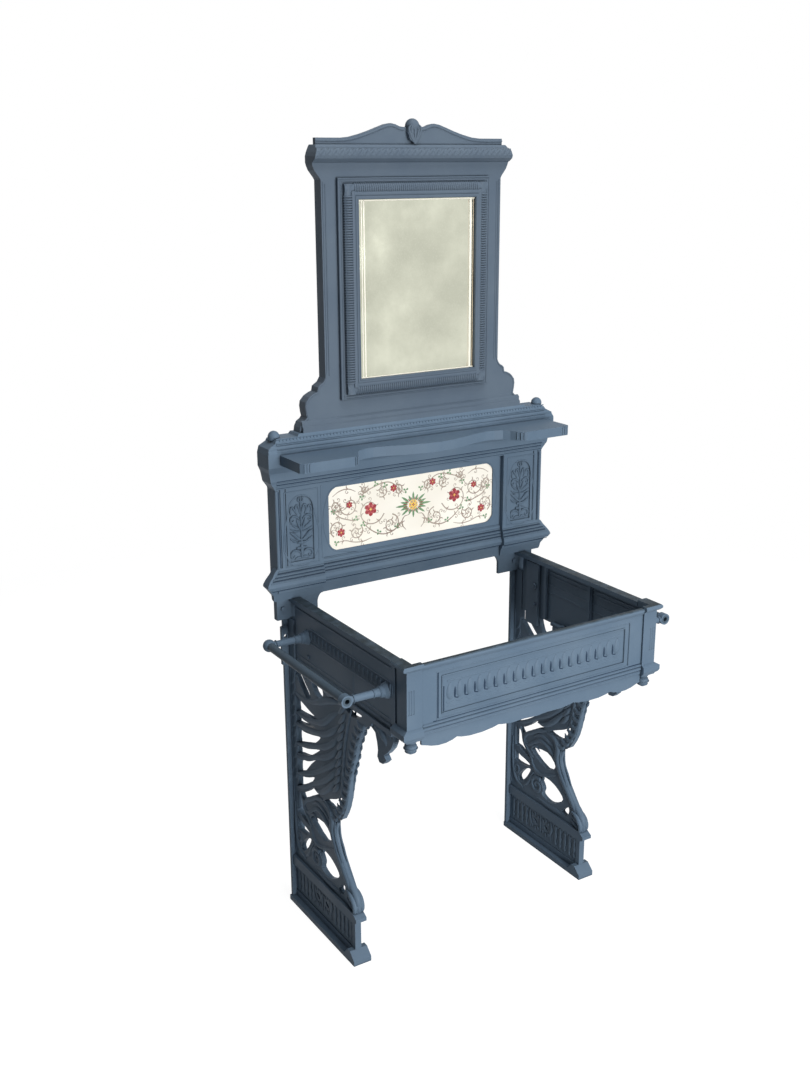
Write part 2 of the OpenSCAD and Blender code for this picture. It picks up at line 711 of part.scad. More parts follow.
module shoulder_frieze() {
    d = frieze_depth - 54;
    k = frieze_h / 115;
    z = splash_top;
    front = [[37, 0], [40, 14], [43, 20], [44, 38], [50, 46], [54, 52], [54, 82], [50, 88],
             [50, 92], [46, 96], [46, 103], [44, 106], [42, 112], [40, 115]];
    side = [[0, 0], [2, 4], [10.5, 16], [14.8, 38], [20, 50], [20, 79], [16.4, 92], [0, 101],
            [-2.6, 106], [-12, 110], [-54, 110], [-58, 115]];
    color(iron) stand() difference() {
        union() {
            intersection() {
                along_x(-splash_x - 30, splash_x + 30)
                    polygon(concat([[0, z]], [for (q = front) [q[0] + d, z + q[1] * k]],
                                   [[0, z + frieze_h]]));
                along_u(0, 99) polygon(concat(
                    [for (q = side) [splash_x + q[0], z + q[1] * k]],
                    [for (i = [len(side) - 1 : -1 : 0])
                        [-splash_x - side[i][0], z + side[i][1] * k]]));
            }
            both_sides() translate([splash_x - 8.5, -23, frieze_top - 3])
                sphere(r = 12.5, $fn = round_fn);
        }
        block(-splash_x + 8, splash_x - 8, -1, 32, z + seam_wall, frieze_top - seam_wall);
        block(-splash_x + 8, splash_x - 8, -1, frieze_depth - 8, shelf_z - 12, shelf_z + 24);
        for (x = frieze_bolt_x) rod_z(x, seam_bolt_u, z - 1, z + 9, bolt_r + bolt_gap);
        for (x = mirror_bolt_x)
            rod_z(x, seam_bolt_u, frieze_top - 9, frieze_top + 1, bolt_r + bolt_gap);
        for (x = shelf_screw_x)
            rod_u(x, frieze_depth - 12, frieze_depth + 1, shelf_z + shelf_t / 2, bolt_r + bolt_gap);
    }
}

// Half of the shelf's front edge, from the middle outwards
shelf_edge = [[0, 126], [28, 124], [60, 118], [90, 109], [118, 100], [145, 95], [168, 97],
              [186, 105], [197, 118], [203, 132], [212, 143], [221, 148]];

module shelf() {
    k = shelf_depth / 148;
    color(iron) stand() difference() {
        both_sides() along_z(shelf_z, shelf_z + shelf_t)
            polygon(concat([for (q = shelf_edge) [q[0] * shelf_w / 686, q[1] * k]],
                           [[shelf_w / 2 - 7, shelf_depth], [shelf_w / 2, shelf_depth - 7],
                            [shelf_w / 2, frieze_depth], [0, frieze_depth]]));
        for (x = shelf_screw_x)
            rod_u(x, frieze_depth - 1, frieze_depth + 24, shelf_z + shelf_t / 2,
                  bolt_r + fit_gap);
    }
}

// ---- mirror ----

// Scrolled foot of the mirror casting: overhang past the body and height
foot_curve = [[64.5, 0], [63, 10], [58, 20], [50, 25], [46, 30], [48, 40], [49.5, 52], [48, 62],
              [39, 72], [28, 78], [20, 81], [18, 91], [6, 99], [0, 109]];
// Cornice return at the side: overhang and height below the cornice's top
ear_curve = [[0, -20], [3, -15], [14, -1], [18, 8], [19.5, 14], [19.5, 26], [17, 34], [12, 45],
             [10, 48]];
// Front of the cornice: distance in front of the body and height
cornice_front = [[0, 8], [1, 13], [6, 15], [15, 21], [17, 27], [16, 36], [13, 40], [5, 43],
                 [3, 46], [1, 48]];
// Half of the pediment's top edge
pediment_edge = [[0, 83], [24, 83], [32, 84], [42, 88], [53, 90], [66, 88], [84, 82], [104, 75],
                 [124, 69], [149, 63], [170, 61], [229, 61]];

module mirror_outline() {
    both_sides() polygon(concat(
        [[0, frieze_top]], [for (q = foot_curve) [body_x + q[0], frieze_top + q[1]]],
        [for (q = ear_curve) [body_x + q[0], body_top + q[1]]], [[0, body_top + 48]]));
}

module cornice() {
    intersection() {
        along_x(-body_x - 30, body_x + 30) polygon(concat(
            [[mirror_back, body_top + 8]],
            [for (q = cornice_front) [mirror_body_depth + q[0], body_top + q[1]]],
            [[mirror_back, body_top + 48]]));
        along_u(0, 99) mirror_outline();
    }
}

// Ring of the raised frame round the glass, growth is past the sight opening
module sight_ring(growth, u0, u1) {
    along_u(u0, u1) translate([0, sight_z])
        square([2 * (sight_x + growth), 2 * (sight_h + growth)], center = true);
}

module mirror_frame() {
    scale_z = (pediment_h - 10) / 90;
    plate_back = mirror_body_depth - plate_t;
    color(iron) stand() difference() {
        union() {
            along_u(mirror_back, mirror_body_depth) mirror_outline();
            cornice();
            // Fillets at the foot
            along_x(-body_x - 60, body_x + 60) polygon([
                [mirror_body_depth - 1, frieze_top], [mirror_body_depth + 9, frieze_top],
                [mirror_body_depth + 9, frieze_top + 10], [mirror_body_depth + 5, frieze_top + 13],
                [mirror_body_depth + 5, frieze_top + 20], [mirror_body_depth, frieze_top + 24],
                [mirror_body_depth - 1, frieze_top + 24]]);
            // Pediment and its finial
            both_sides() along_u(mirror_body_depth - 17, mirror_body_depth - 7)
                polygon([for (q = concat([[0, 30]], pediment_edge, [[229, 30]]))
                    [q[0] * body_x / 222.5, body_top + q[1] * scale_z]]);
            translate([0, -22, top_z - 15]) sphere(r = 15, $fn = round_fn);
            along_u(mirror_body_depth - 17, mirror_body_depth + 3) polygon([
                [-13, top_z - 15], [13, top_z - 15], [17, top_z - 28], [12, top_z - 42],
                [0, top_z - 50], [-12, top_z - 42], [-17, top_z - 28]]);
            sight_ring(ring_w, mirror_body_depth - 1, mirror_body_depth + 7);
            sight_ring(30, mirror_body_depth - 1, mirror_body_depth + 13);
            sight_ring(7, mirror_body_depth - 1, mirror_body_depth + 18);
        }
        sight_ring(0, -1, 99);
        sight_ring(lip_w + 0.5, -1, glass_front);
        // Hollow back
        block(-body_x + plate_t, body_x - plate_t, -1, plate_back, frieze_top + seam_wall,
              body_top + 24);
        block(-body_x - 38, body_x + 38, -1, plate_back, frieze_top + seam_wall, frieze_top + 64);
        for (x = mirror_bolt_x)
            rod_z(x, seam_bolt_u, frieze_top - 1, frieze_top + 9, bolt_r + bolt_gap);
        for (p = mirror_screws) rod_u(p[0], 0, plate_back + 8, p[1], screw_r + fit_gap);
    }
}

module mirror_glass() {
    bevel = 25;
    color("lightsteelblue") stand() intersection() {
        along_u(glass_back, glass_front) translate([0, sight_z])
            square([mirror_w, mirror_h], center = true);
        along_x(-mirror_w, mirror_w) translate([0, sight_z]) bevel_section(mirror_h / 2, bevel);
        along_z(0, top_z) rotate(90) scale([1, -1])
            bevel_section(mirror_w / 2, bevel);
    }
}

// Section of the bevelled plate, its depth along x and its width along y
module bevel_section(half, bevel) {
    polygon([[glass_back, -half], [glass_front - 1.5, -half], [glass_front, -half + bevel],
             [glass_front, half - bevel], [glass_front - 1.5, half], [glass_back, half]]);
}

module mirror_backboard() {
    color("tan") stand() along_u(board_back, glass_back) translate([0, sight_z])
        square([mirror_w, mirror_h], center = true);
}

module mirror_retaining_strips() {
    back = mirror_body_depth - plate_t;
    color("tan") stand() difference() {
        for (x = [-1, 1]) translate([x * (mirror_w / 2 + 5), 0])
            block(-12, 12, back - 6, back, sight_z - mirror_h / 2, sight_z + mirror_h / 2);
        for (p = mirror_screws) rod_u(p[0], 0, 99, p[1], screw_r + 2 * fit_gap);
    }
}

module mirror_strip_screws() {
    start = mirror_body_depth - plate_t - 6;
    color("goldenrod") stand() for (p = mirror_screws)
        to_front(p[0], start, p[1]) small_screw(12);
}

// ---- frame bolts ----

module leg_bolts() {
    color(steel) stand() both_sides() {
        translate([leg_bolt_x, -leg_bolt_u[0], panel_z + seat_t]) mirror([0, 0, 1])
            bolt(seat_t + leg_bar_t);
        translate([leg_bolt_x, -leg_bolt_u[1], panel_z + seat_t]) mirror([0, 0, 1])
            bolt(seat_t + head_bolt_l, nut = false);
        to_x(half_w, leg_side_bolt_u, leg_side_bolt_z) mirror([0, 0, 1]) bolt(plate_t + ear_t);
    }
}

module apron_bolts() {
    color(steel) stand() both_sides() for (z = joint_bolt_z)
        to_x(apron_x - 7, post_u + 11, z) bolt(7.3 + 7);
}

module side_panel_bolts() {
    color(steel) stand() both_sides() for (z = joint_bolt_z)
        to_front(finial_x, panel_front - 6, z) bolt(6 + post_u - panel_front);
}

module splashback_bolts() {
    color(steel) stand() both_sides() for (x = lug_bolt_x)
        to_wall(x, lug_u + lug_t, lug_bolt_z) bolt(lug_t + flange_t - 0.5, nut = false);
}

module frieze_bolts() {
    color(steel) stand() for (x = frieze_bolt_x)
        translate([x, -seam_bolt_u, splash_top - seam_wall]) bolt(2 * seam_wall);
}

module mirror_bolts() {
    color(steel) stand() for (x = mirror_bolt_x)
        translate([x, -seam_bolt_u, frieze_top - seam_wall]) bolt(2 * seam_wall);
}

module shelf_screws() {
    color(steel) stand() for (x = shelf_screw_x)
        to_front(x, frieze_depth - 8, shelf_z + shelf_t / 2) bolt(26, nut = false);
}

left_leg();
right_leg();
front_apron();
left_side_panel();
right_side_panel();
left_corner_post();
right_corner_post();
left_drop_finial();
right_drop_finial();
left_rear_towel_arm();
left_front_towel_arm();
right_rear_towel_arm();
right_front_towel_arm();
left_towel_rail();
right_towel_rail();
towel_arm_nuts();
splashback();
splash_tile();
tile_retaining_strips();
tile_strip_screws();
shoulder_frieze();
shelf();
mirror_frame();
mirror_glass();
mirror_backboard();
mirror_retaining_strips();
mirror_strip_screws();
leg_bolts();
apron_bolts();
side_panel_bolts();
splashback_bolts();
frieze_bolts();
mirror_bolts();
shelf_screws();
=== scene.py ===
# Cast iron wash basin stand, painted slate blue, with a tiled splashback, a shelf
# and a framed mirror. Sketches are drawn in millimetres on a sheet that faces the
# front or a side, or lies level, with heights from the floor and depths from the wall.
import math

import bpy
from mathutils import Matrix, Vector


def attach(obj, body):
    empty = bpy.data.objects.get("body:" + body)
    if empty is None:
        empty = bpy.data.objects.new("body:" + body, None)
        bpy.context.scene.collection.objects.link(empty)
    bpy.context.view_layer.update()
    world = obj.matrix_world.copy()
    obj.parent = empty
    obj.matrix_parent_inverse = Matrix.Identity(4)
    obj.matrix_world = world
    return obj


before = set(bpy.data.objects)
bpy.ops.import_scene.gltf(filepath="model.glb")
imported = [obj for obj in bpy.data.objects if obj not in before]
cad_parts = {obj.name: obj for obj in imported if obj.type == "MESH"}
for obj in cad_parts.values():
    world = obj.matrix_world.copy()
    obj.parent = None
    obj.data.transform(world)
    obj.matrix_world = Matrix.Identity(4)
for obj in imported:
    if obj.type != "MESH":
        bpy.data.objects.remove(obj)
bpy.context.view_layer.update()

# ---- Camera ----
# Set up as the photographer stood: to the left, a little above the mirror's
# middle, looking down at the basin frame.
heading, fall, roll = math.radians(31.904), math.radians(-17.133), math.radians(-0.303)
ahead = Vector((math.sin(heading) * math.cos(fall), math.cos(heading) * math.cos(fall),
                math.sin(fall)))
level = Vector((math.cos(heading), -math.sin(heading), 0))
upward = level.cross(ahead)
right = level * math.cos(roll) + upward * math.sin(roll)
upward = right.cross(ahead)
standpoint = (-1.4293, -2.0315, 1.6618)
bpy.ops.object.camera_add(location=standpoint)
camera = bpy.context.object
camera.matrix_world = Matrix.Translation(camera.location) @ Matrix(
    (right, upward, -ahead)).transposed().to_4x4()
camera.data.lens = 40.77
camera.data.sensor_width = 36
camera.data.clip_end = 50
bpy.context.scene.camera = camera

# ---- Legs ----
# Each leg is one openwork iron casting, painted slate blue: a winged beast that
# stands on a panelled plinth, with a flange against the wall. The carving stands
# a few millimetres proud of both faces.


def noise(tree, vector, scale, detail, roughness=0.55):
    node = tree.nodes.new("ShaderNodeTexNoise")
    node.inputs["Scale"].default_value = scale
    node.inputs["Detail"].default_value = detail
    node.inputs["Roughness"].default_value = roughness
    tree.links.new(vector, node.inputs["Vector"])
    return node.outputs["Fac"]


def spread(tree, value, low, high, to_low=0.0, to_high=1.0):
    node = tree.nodes.new("ShaderNodeMapRange")
    for label, number in (("From Min", low), ("From Max", high), ("To Min", to_low),
                          ("To Max", to_high)):
        node.inputs[label].default_value = number
    tree.links.new(value, node.inputs["Value"])
    return node.outputs["Result"]


def blend_colours(tree, factor, first, second):
    node = tree.nodes.new("ShaderNodeMix")
    node.data_type = "RGBA"
    for socket, value in ((node.inputs["Factor"], factor), (node.inputs[6], first),
                          (node.inputs[7], second)):
        if isinstance(value, (float, tuple)):
            socket.default_value = value
        else:
            tree.links.new(value, socket)
    return node.outputs[2]


def aged_coat_group():
    """Paint or varnish that has clouded and dulled, with painted shade in its narrow recesses."""
    group = bpy.data.node_groups.new("aged coat", "ShaderNodeTree")
    grey = (0.5, 0.5, 0.5, 1)
    for label, kind, value in (("Colour", "NodeSocketColor", grey),
                               ("Dulled", "NodeSocketColor", grey),
                               ("Mean Roughness", "NodeSocketFloat", 0.5),
                               ("Painted Shade", "NodeSocketFloat", 0.0)):
        socket = group.interface.new_socket(name=label, in_out="INPUT", socket_type=kind)
        socket.default_value = value
    for label, kind in (("Colour", "NodeSocketColor"), ("Roughness", "NodeSocketFloat"),
                        ("Height", "NodeSocketFloat")):
        group.interface.new_socket(name=label, in_out="OUTPUT", socket_type=kind)
    inside = group.nodes.new("NodeGroupInput")
    out = group.nodes.new("NodeGroupOutput")
    place = group.nodes.new("ShaderNodeTexCoord").outputs["Object"]
    clouds = spread(group, noise(group, place, 9, 4), 0.35, 0.68)
    specks = spread(group, noise(group, place, 260, 3), 0.5, 0.75)
    grain = noise(group, place, 520, 5, 0.7)
    mottled = blend_colours(group, clouds, inside.outputs["Colour"], inside.outputs["Dulled"])
    faded = spread(group, specks, 0, 1, 0, 0.35)
    tone = blend_colours(group, faded, mottled, inside.outputs["Dulled"])
    # Painted shade: the colour turns near black where ambient occlusion finds a narrow recess.
    open_sky = group.nodes.new("ShaderNodeAmbientOcclusion")
    open_sky.samples = 8
    open_sky.inputs["Distance"].default_value = 0.007
    recess = spread(group, open_sky.outputs["AO"], 0.35, 0.85, 1, 0)
    shade_amount = group.nodes.new("ShaderNodeMath")
    shade_amount.operation = "MULTIPLY"
    group.links.new(recess, shade_amount.inputs[0])
    group.links.new(inside.outputs["Painted Shade"], shade_amount.inputs[1])
    painted_shade_colour = (0.016, 0.022, 0.030, 1)
    group.links.new(blend_colours(group, shade_amount.outputs[0], tone, painted_shade_colour), out.inputs["Colour"])
    rough = group.nodes.new("ShaderNodeMath")
    rough.operation = "ADD"
    group.links.new(inside.outputs["Mean Roughness"], rough.inputs[0])
    group.links.new(spread(group, clouds, 0, 1, -0.06, 0.08), rough.inputs[1])
    group.links.new(rough.outputs[0], out.inputs["Roughness"])
    group.links.new(grain, out.inputs["Height"])
    return group


aged_coat = aged_coat_group()


def coated(name, colour, dulled, roughness, metallic=0.0, bump=0.15, specular=0.5, painted_shade=0.0):
    """A finish whose two tones and roughness go through the aged coat."""
    material = bpy.data.materials.new(name)
    material.use_nodes = True
    tree = material.node_tree
    shader = tree.nodes["Principled BSDF"]
    shader.inputs["Metallic"].default_value = metallic
    shader.inputs["Specular IOR Level"].default_value = specular
    coat = tree.nodes.new("ShaderNodeGroup")
    coat.node_tree = aged_coat
    coat.inputs["Colour"].default_value = (*colour, 1)
    coat.inputs["Dulled"].default_value = (*dulled, 1)
    coat.inputs["Mean Roughness"].default_value = roughness
    coat.inputs["Painted Shade"].default_value = painted_shade
    tree.links.new(coat.outputs["Colour"], shader.inputs["Base Color"])
    tree.links.new(coat.outputs["Roughness"], shader.inputs["Roughness"])
    relief = tree.nodes.new("ShaderNodeBump")
    relief.inputs["Strength"].default_value = bump
    relief.inputs["Distance"].default_value = 0.0006
    tree.links.new(coat.outputs["Height"], relief.inputs["Height"])
    tree.links.new(relief.outputs["Normal"], shader.inputs["Normal"])
    material.diffuse_color = (*colour, 1)
    return material


def worn_on_top(material, height, colour):
    """The level faces above this height have lost their paint to grime and bare iron."""
    tree = material.node_tree
    shader = tree.nodes["Principled BSDF"]
    painted = shader.inputs["Base Color"].links[0].from_socket
    apart = tree.nodes.new("ShaderNodeSeparateXYZ")
    place = tree.nodes.new("ShaderNodeTexCoord").outputs["Object"]
    tree.links.new(place, apart.inputs[0])
    facing = tree.nodes.new("ShaderNodeSeparateXYZ")
    tree.links.new(tree.nodes.new("ShaderNodeTexCoord").outputs["Normal"], facing.inputs[0])
    high = spread(tree, apart.outputs["Z"], height - 0.003, height - 0.001)
    level_face = spread(tree, facing.outputs["Z"], 0.5, 0.8)
    patches = spread(tree, noise(tree, place, 45, 4), 0.3, 0.6, 0.55, 1)
    mask = high
    for factor in (level_face, patches):
        both = tree.nodes.new("ShaderNodeMath")
        both.operation = "MULTIPLY"
        tree.links.new(mask, both.inputs[0])
        tree.links.new(factor, both.inputs[1])
        mask = both.outputs[0]
    tree.links.new(blend_colours(tree, mask, painted, colour), shader.inputs["Base Color"])


def paint(name, colour, dulled):
    """Old satin oil paint on iron, with painted shade in its narrow recesses."""
    return coated(name, colour, dulled, 0.5, specular=0.1, painted_shade=0.75)


slate_paint = paint("slate_paint", (0.088, 0.132, 0.186), (0.106, 0.152, 0.206))
rim_height, bare_iron = 0.760, (0.026, 0.037, 0.045, 1)
rim_paint = slate_paint.copy()
rim_paint.name = "slate_paint_rim"
worn_on_top(rim_paint, rim_height, bare_iron)


def keep(material, *nodes):
    """Gives CAD nodes that stay in view their finish."""
    for node in nodes:
        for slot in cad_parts[node].material_slots:
            slot.material = material


WALL = 0.25  # the wall plane stands at this Y


def front_sheet(depth):
    """A sheet held this far from the wall: x to the right, y up, z to the viewer."""
    return Matrix(((.001, 0, 0, 0), (0, 0, -.001, WALL - depth / 1000), (0, .001, 0, 0),
                   (0, 0, 0, 1)))


def side_sheet(x):
    """A sheet that faces a side: x away from the wall, y up, z to the left."""
    return Matrix(((0, 0, -.001, x / 1000), (-.001, 0, 0, WALL), (0, .001, 0, 0),
                   (0, 0, 0, 1)))


def flat_sheet(z):
    """A sheet that lies level: x to the right, y away from the wall, z down."""
    return Matrix(((.001, 0, 0, 0), (0, -.001, 0, WALL), (0, 0, -.001, z / 1000),
                   (0, 0, 0, 1)))


def ribs(lines, sheet, swell, ring=2, smooth=4, closed=False):
    """Carved ribs: round bars through (x, y, half width) points, pressed flat by the swell.

    A fourth number lifts the point off the sheet.
    """
    bpy.ops.object.select_all(action="DESELECT")
    bpy.ops.curve.primitive_bezier_curve_add()
    piece = bpy.context.object
    curve = piece.data
    curve.splines.clear()
    for line in lines:
        spline = curve.splines.new("BEZIER")
        spline.bezier_points.add(len(line) - 1)
        spline.use_cyclic_u = closed
        for point, (x, y, half, *lift) in zip(spline.bezier_points, line):
            point.co = (x, y, sum(lift) / swell)
            point.radius = half
            point.handle_left_type = point.handle_right_type = "AUTO"
    curve.resolution_u = smooth
    curve.bevel_depth = 1
    curve.bevel_resolution = ring
    curve.use_fill_caps = True
    bpy.ops.object.convert(target="MESH")
    piece.data.transform(sheet @ Matrix.Diagonal((1, 1, swell, 1)))
    return piece


def copy_of(piece, move):
    """A copy with its own mesh, moved by a matrix, its faces still pointing out."""
    twin = piece.copy()
    twin.data = piece.data.copy()
    bpy.context.collection.objects.link(twin)
    twin.data.transform(move)
    if move.to_3x3().determinant() < 0:
        twin.data.flip_normals()
    return twin


def sideways(x):
    return Matrix.Translation((x / 1000, 0, 0))


OTHER_SIDE = Matrix.Scale(-1, 4, (1, 0, 0))


def mount(name, parts, material):
    """Joins the parts into one piece that stays with the stand, the ribs' ends welded on."""
    bpy.ops.object.select_all(action="DESELECT")
    for part in parts:
        part.data.materials.clear()
        part.data.materials.append(material)
        part.select_set(True)
    bpy.context.view_layer.objects.active = parts[0]
    if len(parts) > 1:
        bpy.ops.object.join()
    piece = bpy.context.object
    piece.name = piece.data.name = name
    bpy.ops.object.mode_set(mode="EDIT")
    bpy.ops.mesh.select_all(action="SELECT")
    bpy.ops.mesh.remove_doubles(threshold=1e-6)
    bpy.ops.mesh.normals_make_consistent(inside=False)
    bpy.ops.object.mode_set(mode="OBJECT")
    bpy.ops.object.shade_smooth_by_angle(angle=math.radians(50))
    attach(piece, "root")
    return piece


def spiral(x, y, start, end, first, turns, half, steps=14):
    """A volute's line, from its outer radius and angle in to its eye, half as wide there."""
    line = []
    for i in range(steps):
        t = i / (steps - 1)
        r = start + (end - start) * t
        a = math.radians(first) + turns * 2 * math.pi * t
        line.append((x + r * math.cos(a), y + r * math.sin(a), half * (1 - 0.5 * t)))
    return line


leg_outer, leg_middle, leg_inner, head_middle = 318, 312, 306, 300.5
feathers = [
    [(240, 592, 2), (205, 585, 8), (150, 562, 8), (100, 543, 4), (26, 540, 3)],
    [(236, 572, 2), (200, 548, 8), (165, 520, 9), (125, 505, 6), (70, 495, 5), (22, 493, 2)],
    [(238, 545, 2), (204, 515, 8), (165, 492, 8), (125, 480, 6), (70, 470, 6), (22, 462, 2)],
    [(236, 520, 2), (206, 488, 8), (165, 462, 8), (122, 444, 6), (80, 428, 6), (22, 412, 2)],
    [(234, 495, 2), (206, 464, 8), (168, 438, 8), (126, 420, 6), (80, 397, 6), (22, 382, 2)],
    [(231, 468, 2), (204, 438, 8), (165, 410, 8), (124, 384, 6), (75, 358, 6), (22, 337, 2)],
    [(227, 441, 2), (200, 412, 8), (160, 378, 8), (112, 350, 6), (60, 318, 5), (24, 302, 2)],
    [(222, 412, 2), (198, 388, 7), (165, 358, 8), (135, 340, 6), (112, 338, 2)],
]
coverts = [[(x + 2, y + 14, 1), (x - 8, y + 2, 7), (x - 22, y - 14, 6), (x - 34, y - 22, 1)]
           for x, y in ((262, 588), (262, 566), (258, 544), (254, 522), (250, 500), (246, 478),
                        (242, 456), (238, 434), (234, 412), (230, 392))]
breast = [(330, 582), (318, 563), (308, 543), (298, 520), (292, 498), (284, 476), (276, 454),
          (268, 432), (262, 410), (256, 388), (248, 366), (238, 348), (224, 332), (208, 316)]
scales = [[(x + 10, y + 2, 1), (x + 2, y - 7, 6), (x - 12, y - 8, 7), (x - 22, y + 3, 1)]
          for x, y in breast]
body = [
    [(286, 596, 2), (276, 570, 4), (262, 528, 5), (252, 480, 5), (246, 430, 5), (238, 388, 4),
     (224, 360, 2)],
    [(318, 572, 2), (306, 536, 4), (296, 502, 4), (284, 470, 4), (275, 440, 4), (266, 405, 4),
     (258, 376, 4), (244, 350, 4), (222, 328, 2)],
    [(150, 322, 3), (180, 318, 7), (192, 300, 10), (191, 275, 10), (199, 250, 9),
     (215, 224, 9), (238, 196, 8), (262, 168, 7), (276, 150, 4)],
    [(204, 300, 2), (202, 280, 4), (206, 258, 4), (218, 238, 4), (232, 214, 3)],
    [(148, 328, 3), (120, 318, 6), (92, 302, 6), (68, 286, 5), (60, 268, 4), (74, 250, 4),
     (98, 234, 3)],
    [(192, 228, 2), (158, 212, 5), (118, 202, 6), (98, 214, 5), (90, 232, 4), (66, 250, 2)],
    [(192, 262, 2), (160, 284, 7), (124, 292, 6), (98, 276, 5), (74, 262, 4), (60, 276, 2)],
    [(14, 262, 2), (12, 225, 4), (16, 185, 5), (30, 146, 5), (60, 134, 3)],
    [(222, 132, 2), (190, 132, 6), (160, 130, 5), (132, 132, 4), (108, 132, 2)],
    [(100, 196, 2), (90, 176, 5), (78, 156, 5), (60, 140, 2)],
    [(180, 292, 2), (150, 304, 5), (118, 306, 4), (100, 294, 2)],
    [(124, 262, 1), (108, 270, 4), (92, 262, 4), (86, 250, 1)],
    spiral(115, 165, 23, 5, 60, 1.5, 6),
    spiral(30, 178, 14, 4, 200, 1.2, 4),
]
paw = [
    [(252, 160, 3), (266, 154, 6), (279, 150, 6), (288, 141, 5), (288, 130, 3)],
    [(252, 148, 3), (266, 142, 6), (278, 138, 6), (285, 129, 5), (284, 121, 3)],
    [(250, 136, 3), (262, 131, 6), (272, 127, 6), (278, 121, 4)],
]
stile = [[(14, y, 1), (25, y + 9, 4), (31, y + 24, 3), (29, y + 36, 1)]
         for y in range(320, 570, 26)] + [
    [(10, 606, 2), (10, 300, 2.5), (10, 130, 2)],
    spiral(91, 600, 12, 4, 120, 1.3, 4),
    [(160, 600, 2), (190, 596, 7), (214, 602, 6), (244, 604, 2)],
]
baluster_places = (22, 40, 58, 76, 194, 212, 230, 248, 266)
balusters = [[(u, 34, 2), (u, 41, 6), (u, 48, 3), (u, 62, 7), (u, 76, 4), (u, 83, 6), (u, 91, 2)]
             for u in baluster_places]
arcade = [[(u - 9, 84, 2), (u - 6, 92, 3), (u, 95, 3), (u + 6, 92, 3), (u + 9, 84, 2)]
          for u in baluster_places]
# Leaves round the two piercings of the plinth, with a stem on either side of each
rosettes = []
for u in (113, 155):
    for turn in (50, 90, 130, 230, 270, 310):
        a = math.radians(turn)
        c, s = math.cos(a), math.sin(a)
        rosettes.append([(u + c * 14, 64 + s * 14, 2), (u + c * 17, 64 + s * 20, 4.5),
                         (u + c * 19, 64 + s * 27, 1.5)])
rosettes += [[(92, 36, 2), (96, 52, 4), (90, 70, 5), (95, 92, 2)],
             [(134, 38, 2), (134, 58, 3.5), (134, 78, 3.5), (134, 92, 2)],
             [(176, 36, 2), (172, 52, 4), (178, 70, 5), (173, 92, 2)]]
carved_lines = feathers + coverts + scales + body + paw + stile
plinth_lines = balusters + arcade + rosettes
head_lines = [
    [(318, 592, 3), (340, 597, 9), (372, 592, 12), (394, 578, 12), (404, 564, 8), (402, 554, 3)],
    [(372, 592, 3), (396, 598, 9), (416, 588, 9), (424, 574, 6), (416, 562, 2)],
    [(376, 566, 3), (382, 550, 7), (379, 535, 7), (383, 524, 5), (392, 522, 4), (401, 528, 2)],
    [(330, 590, 3), (352, 586, 5), (366, 576, 6), (372, 560, 3)],
    [(390, 558, 3), (392, 553, 4), (391, 548, 3)],
]
# The shin, the toes and the beaded edge of the breast are round and stand out
# on both sides of the leg.
shin = [[(208, 300, 4), (197, 276, 7), (200, 258, 8), (208, 240, 8), (220, 220, 8), (236, 202, 7),
         (252, 184, 7), (268, 168, 9), (282, 154, 9), (288, 140, 8), (286, 126, 5)]]
beads = [[(x - 5, y - 8, 4), (x - 1, y, 9), (x + 4, y + 8, 4)] for x, y in
         ((322, 566), (314, 550), (305, 532), (297, 513), (289, 494), (282, 475), (274, 455),
          (268, 435), (264, 415), (260, 394), (254, 374), (246, 355), (235, 337), (221, 322))]
faces = [ribs(lines, side_sheet(x), swell) for x in (leg_outer, leg_inner)
         for lines, swell in ((carved_lines, 0.62), (plinth_lines, 0.24))]
faces += [ribs(shin + beads, side_sheet(leg_middle), 1.0),
          ribs(head_lines, side_sheet(head_middle), 1.0)]
toe = [[(258, 160, 4), (271, 156, 6), (283, 147, 6.5), (289, 135, 6), (289, 124, 5),
        (286, 118, 3)]]
toe_pitch = 9
faces += [ribs(toe, side_sheet(leg_middle + toe_pitch * i), 1.0) for i in (-1, 0, 1)]
right_carving = mount("right_leg_carving", faces, slate_paint)
left_carving = copy_of(right_carving, OTHER_SIDE)
mount("left_leg_carving", [left_carving], slate_paint)
keep(slate_paint, "left_leg", "right_leg")

# ---- Side panels ----
# Cast plates with a flat rim, one on each leg. A row of small upright leaves runs
# along the outside under the rim, and the mouldings show on the inside as well.
# The rim's top has lost its paint.


def tongue(x, y, w, h):
    """An upright carved leaf between two ridges, as ribs."""
    return [
        [(x, y - h / 2, 1), (x, y - h / 6, w * 0.2), (x, y + h / 4, w * 0.24),
         (x, y + h / 2, w * 0.12)],
        [(x - w * 0.38, y + h / 2, 1), (x - w * 0.42, y, w * 0.1),
         (x - w * 0.2, y - h * 0.48, 1.2), (x + w * 0.2, y - h * 0.48, 1.2),
         (x + w * 0.42, y, w * 0.1), (x + w * 0.38, y + h / 2, 1)],
    ]


panel_outer, panel_inner = 314, 308
panel_lines = []
for u in range(112, 440, 17):
    panel_lines += tongue(u, 697, 16, 24)
panel_lines += [[(u0, z, r), (436, z, r)] for u0, z, r in
                ((106, 713, 2), (106, 681, 2), (40, 742, 2.5), (40, 622, 3), (40, 634, 1.6))]
outside = ribs(panel_lines, side_sheet(panel_outer), 0.8)
back_lines = [[(u0, z, 2.4), (u1, z, 2.4)] for u0, u1 in ((136, 282), (294, 448))
              for z in (738, 728, 706, 686)]
inside = ribs(back_lines, side_sheet(panel_inner), 0.5)
divider = ribs([[(288, 626, 7), (288, 744, 7)]], side_sheet(panel_inner), 1.0)
right_panel = mount("right_panel_relief", [outside, inside, divider], slate_paint)
mount("left_panel_relief", [copy_of(right_panel, OTHER_SIDE)], slate_paint)
keep(rim_paint, "left_side_panel", "right_side_panel")

# ---- Corner posts and drops ----
# Hollow iron corner castings with a moulded cap and foot, and a turned iron drop
# screwed up into each foot.


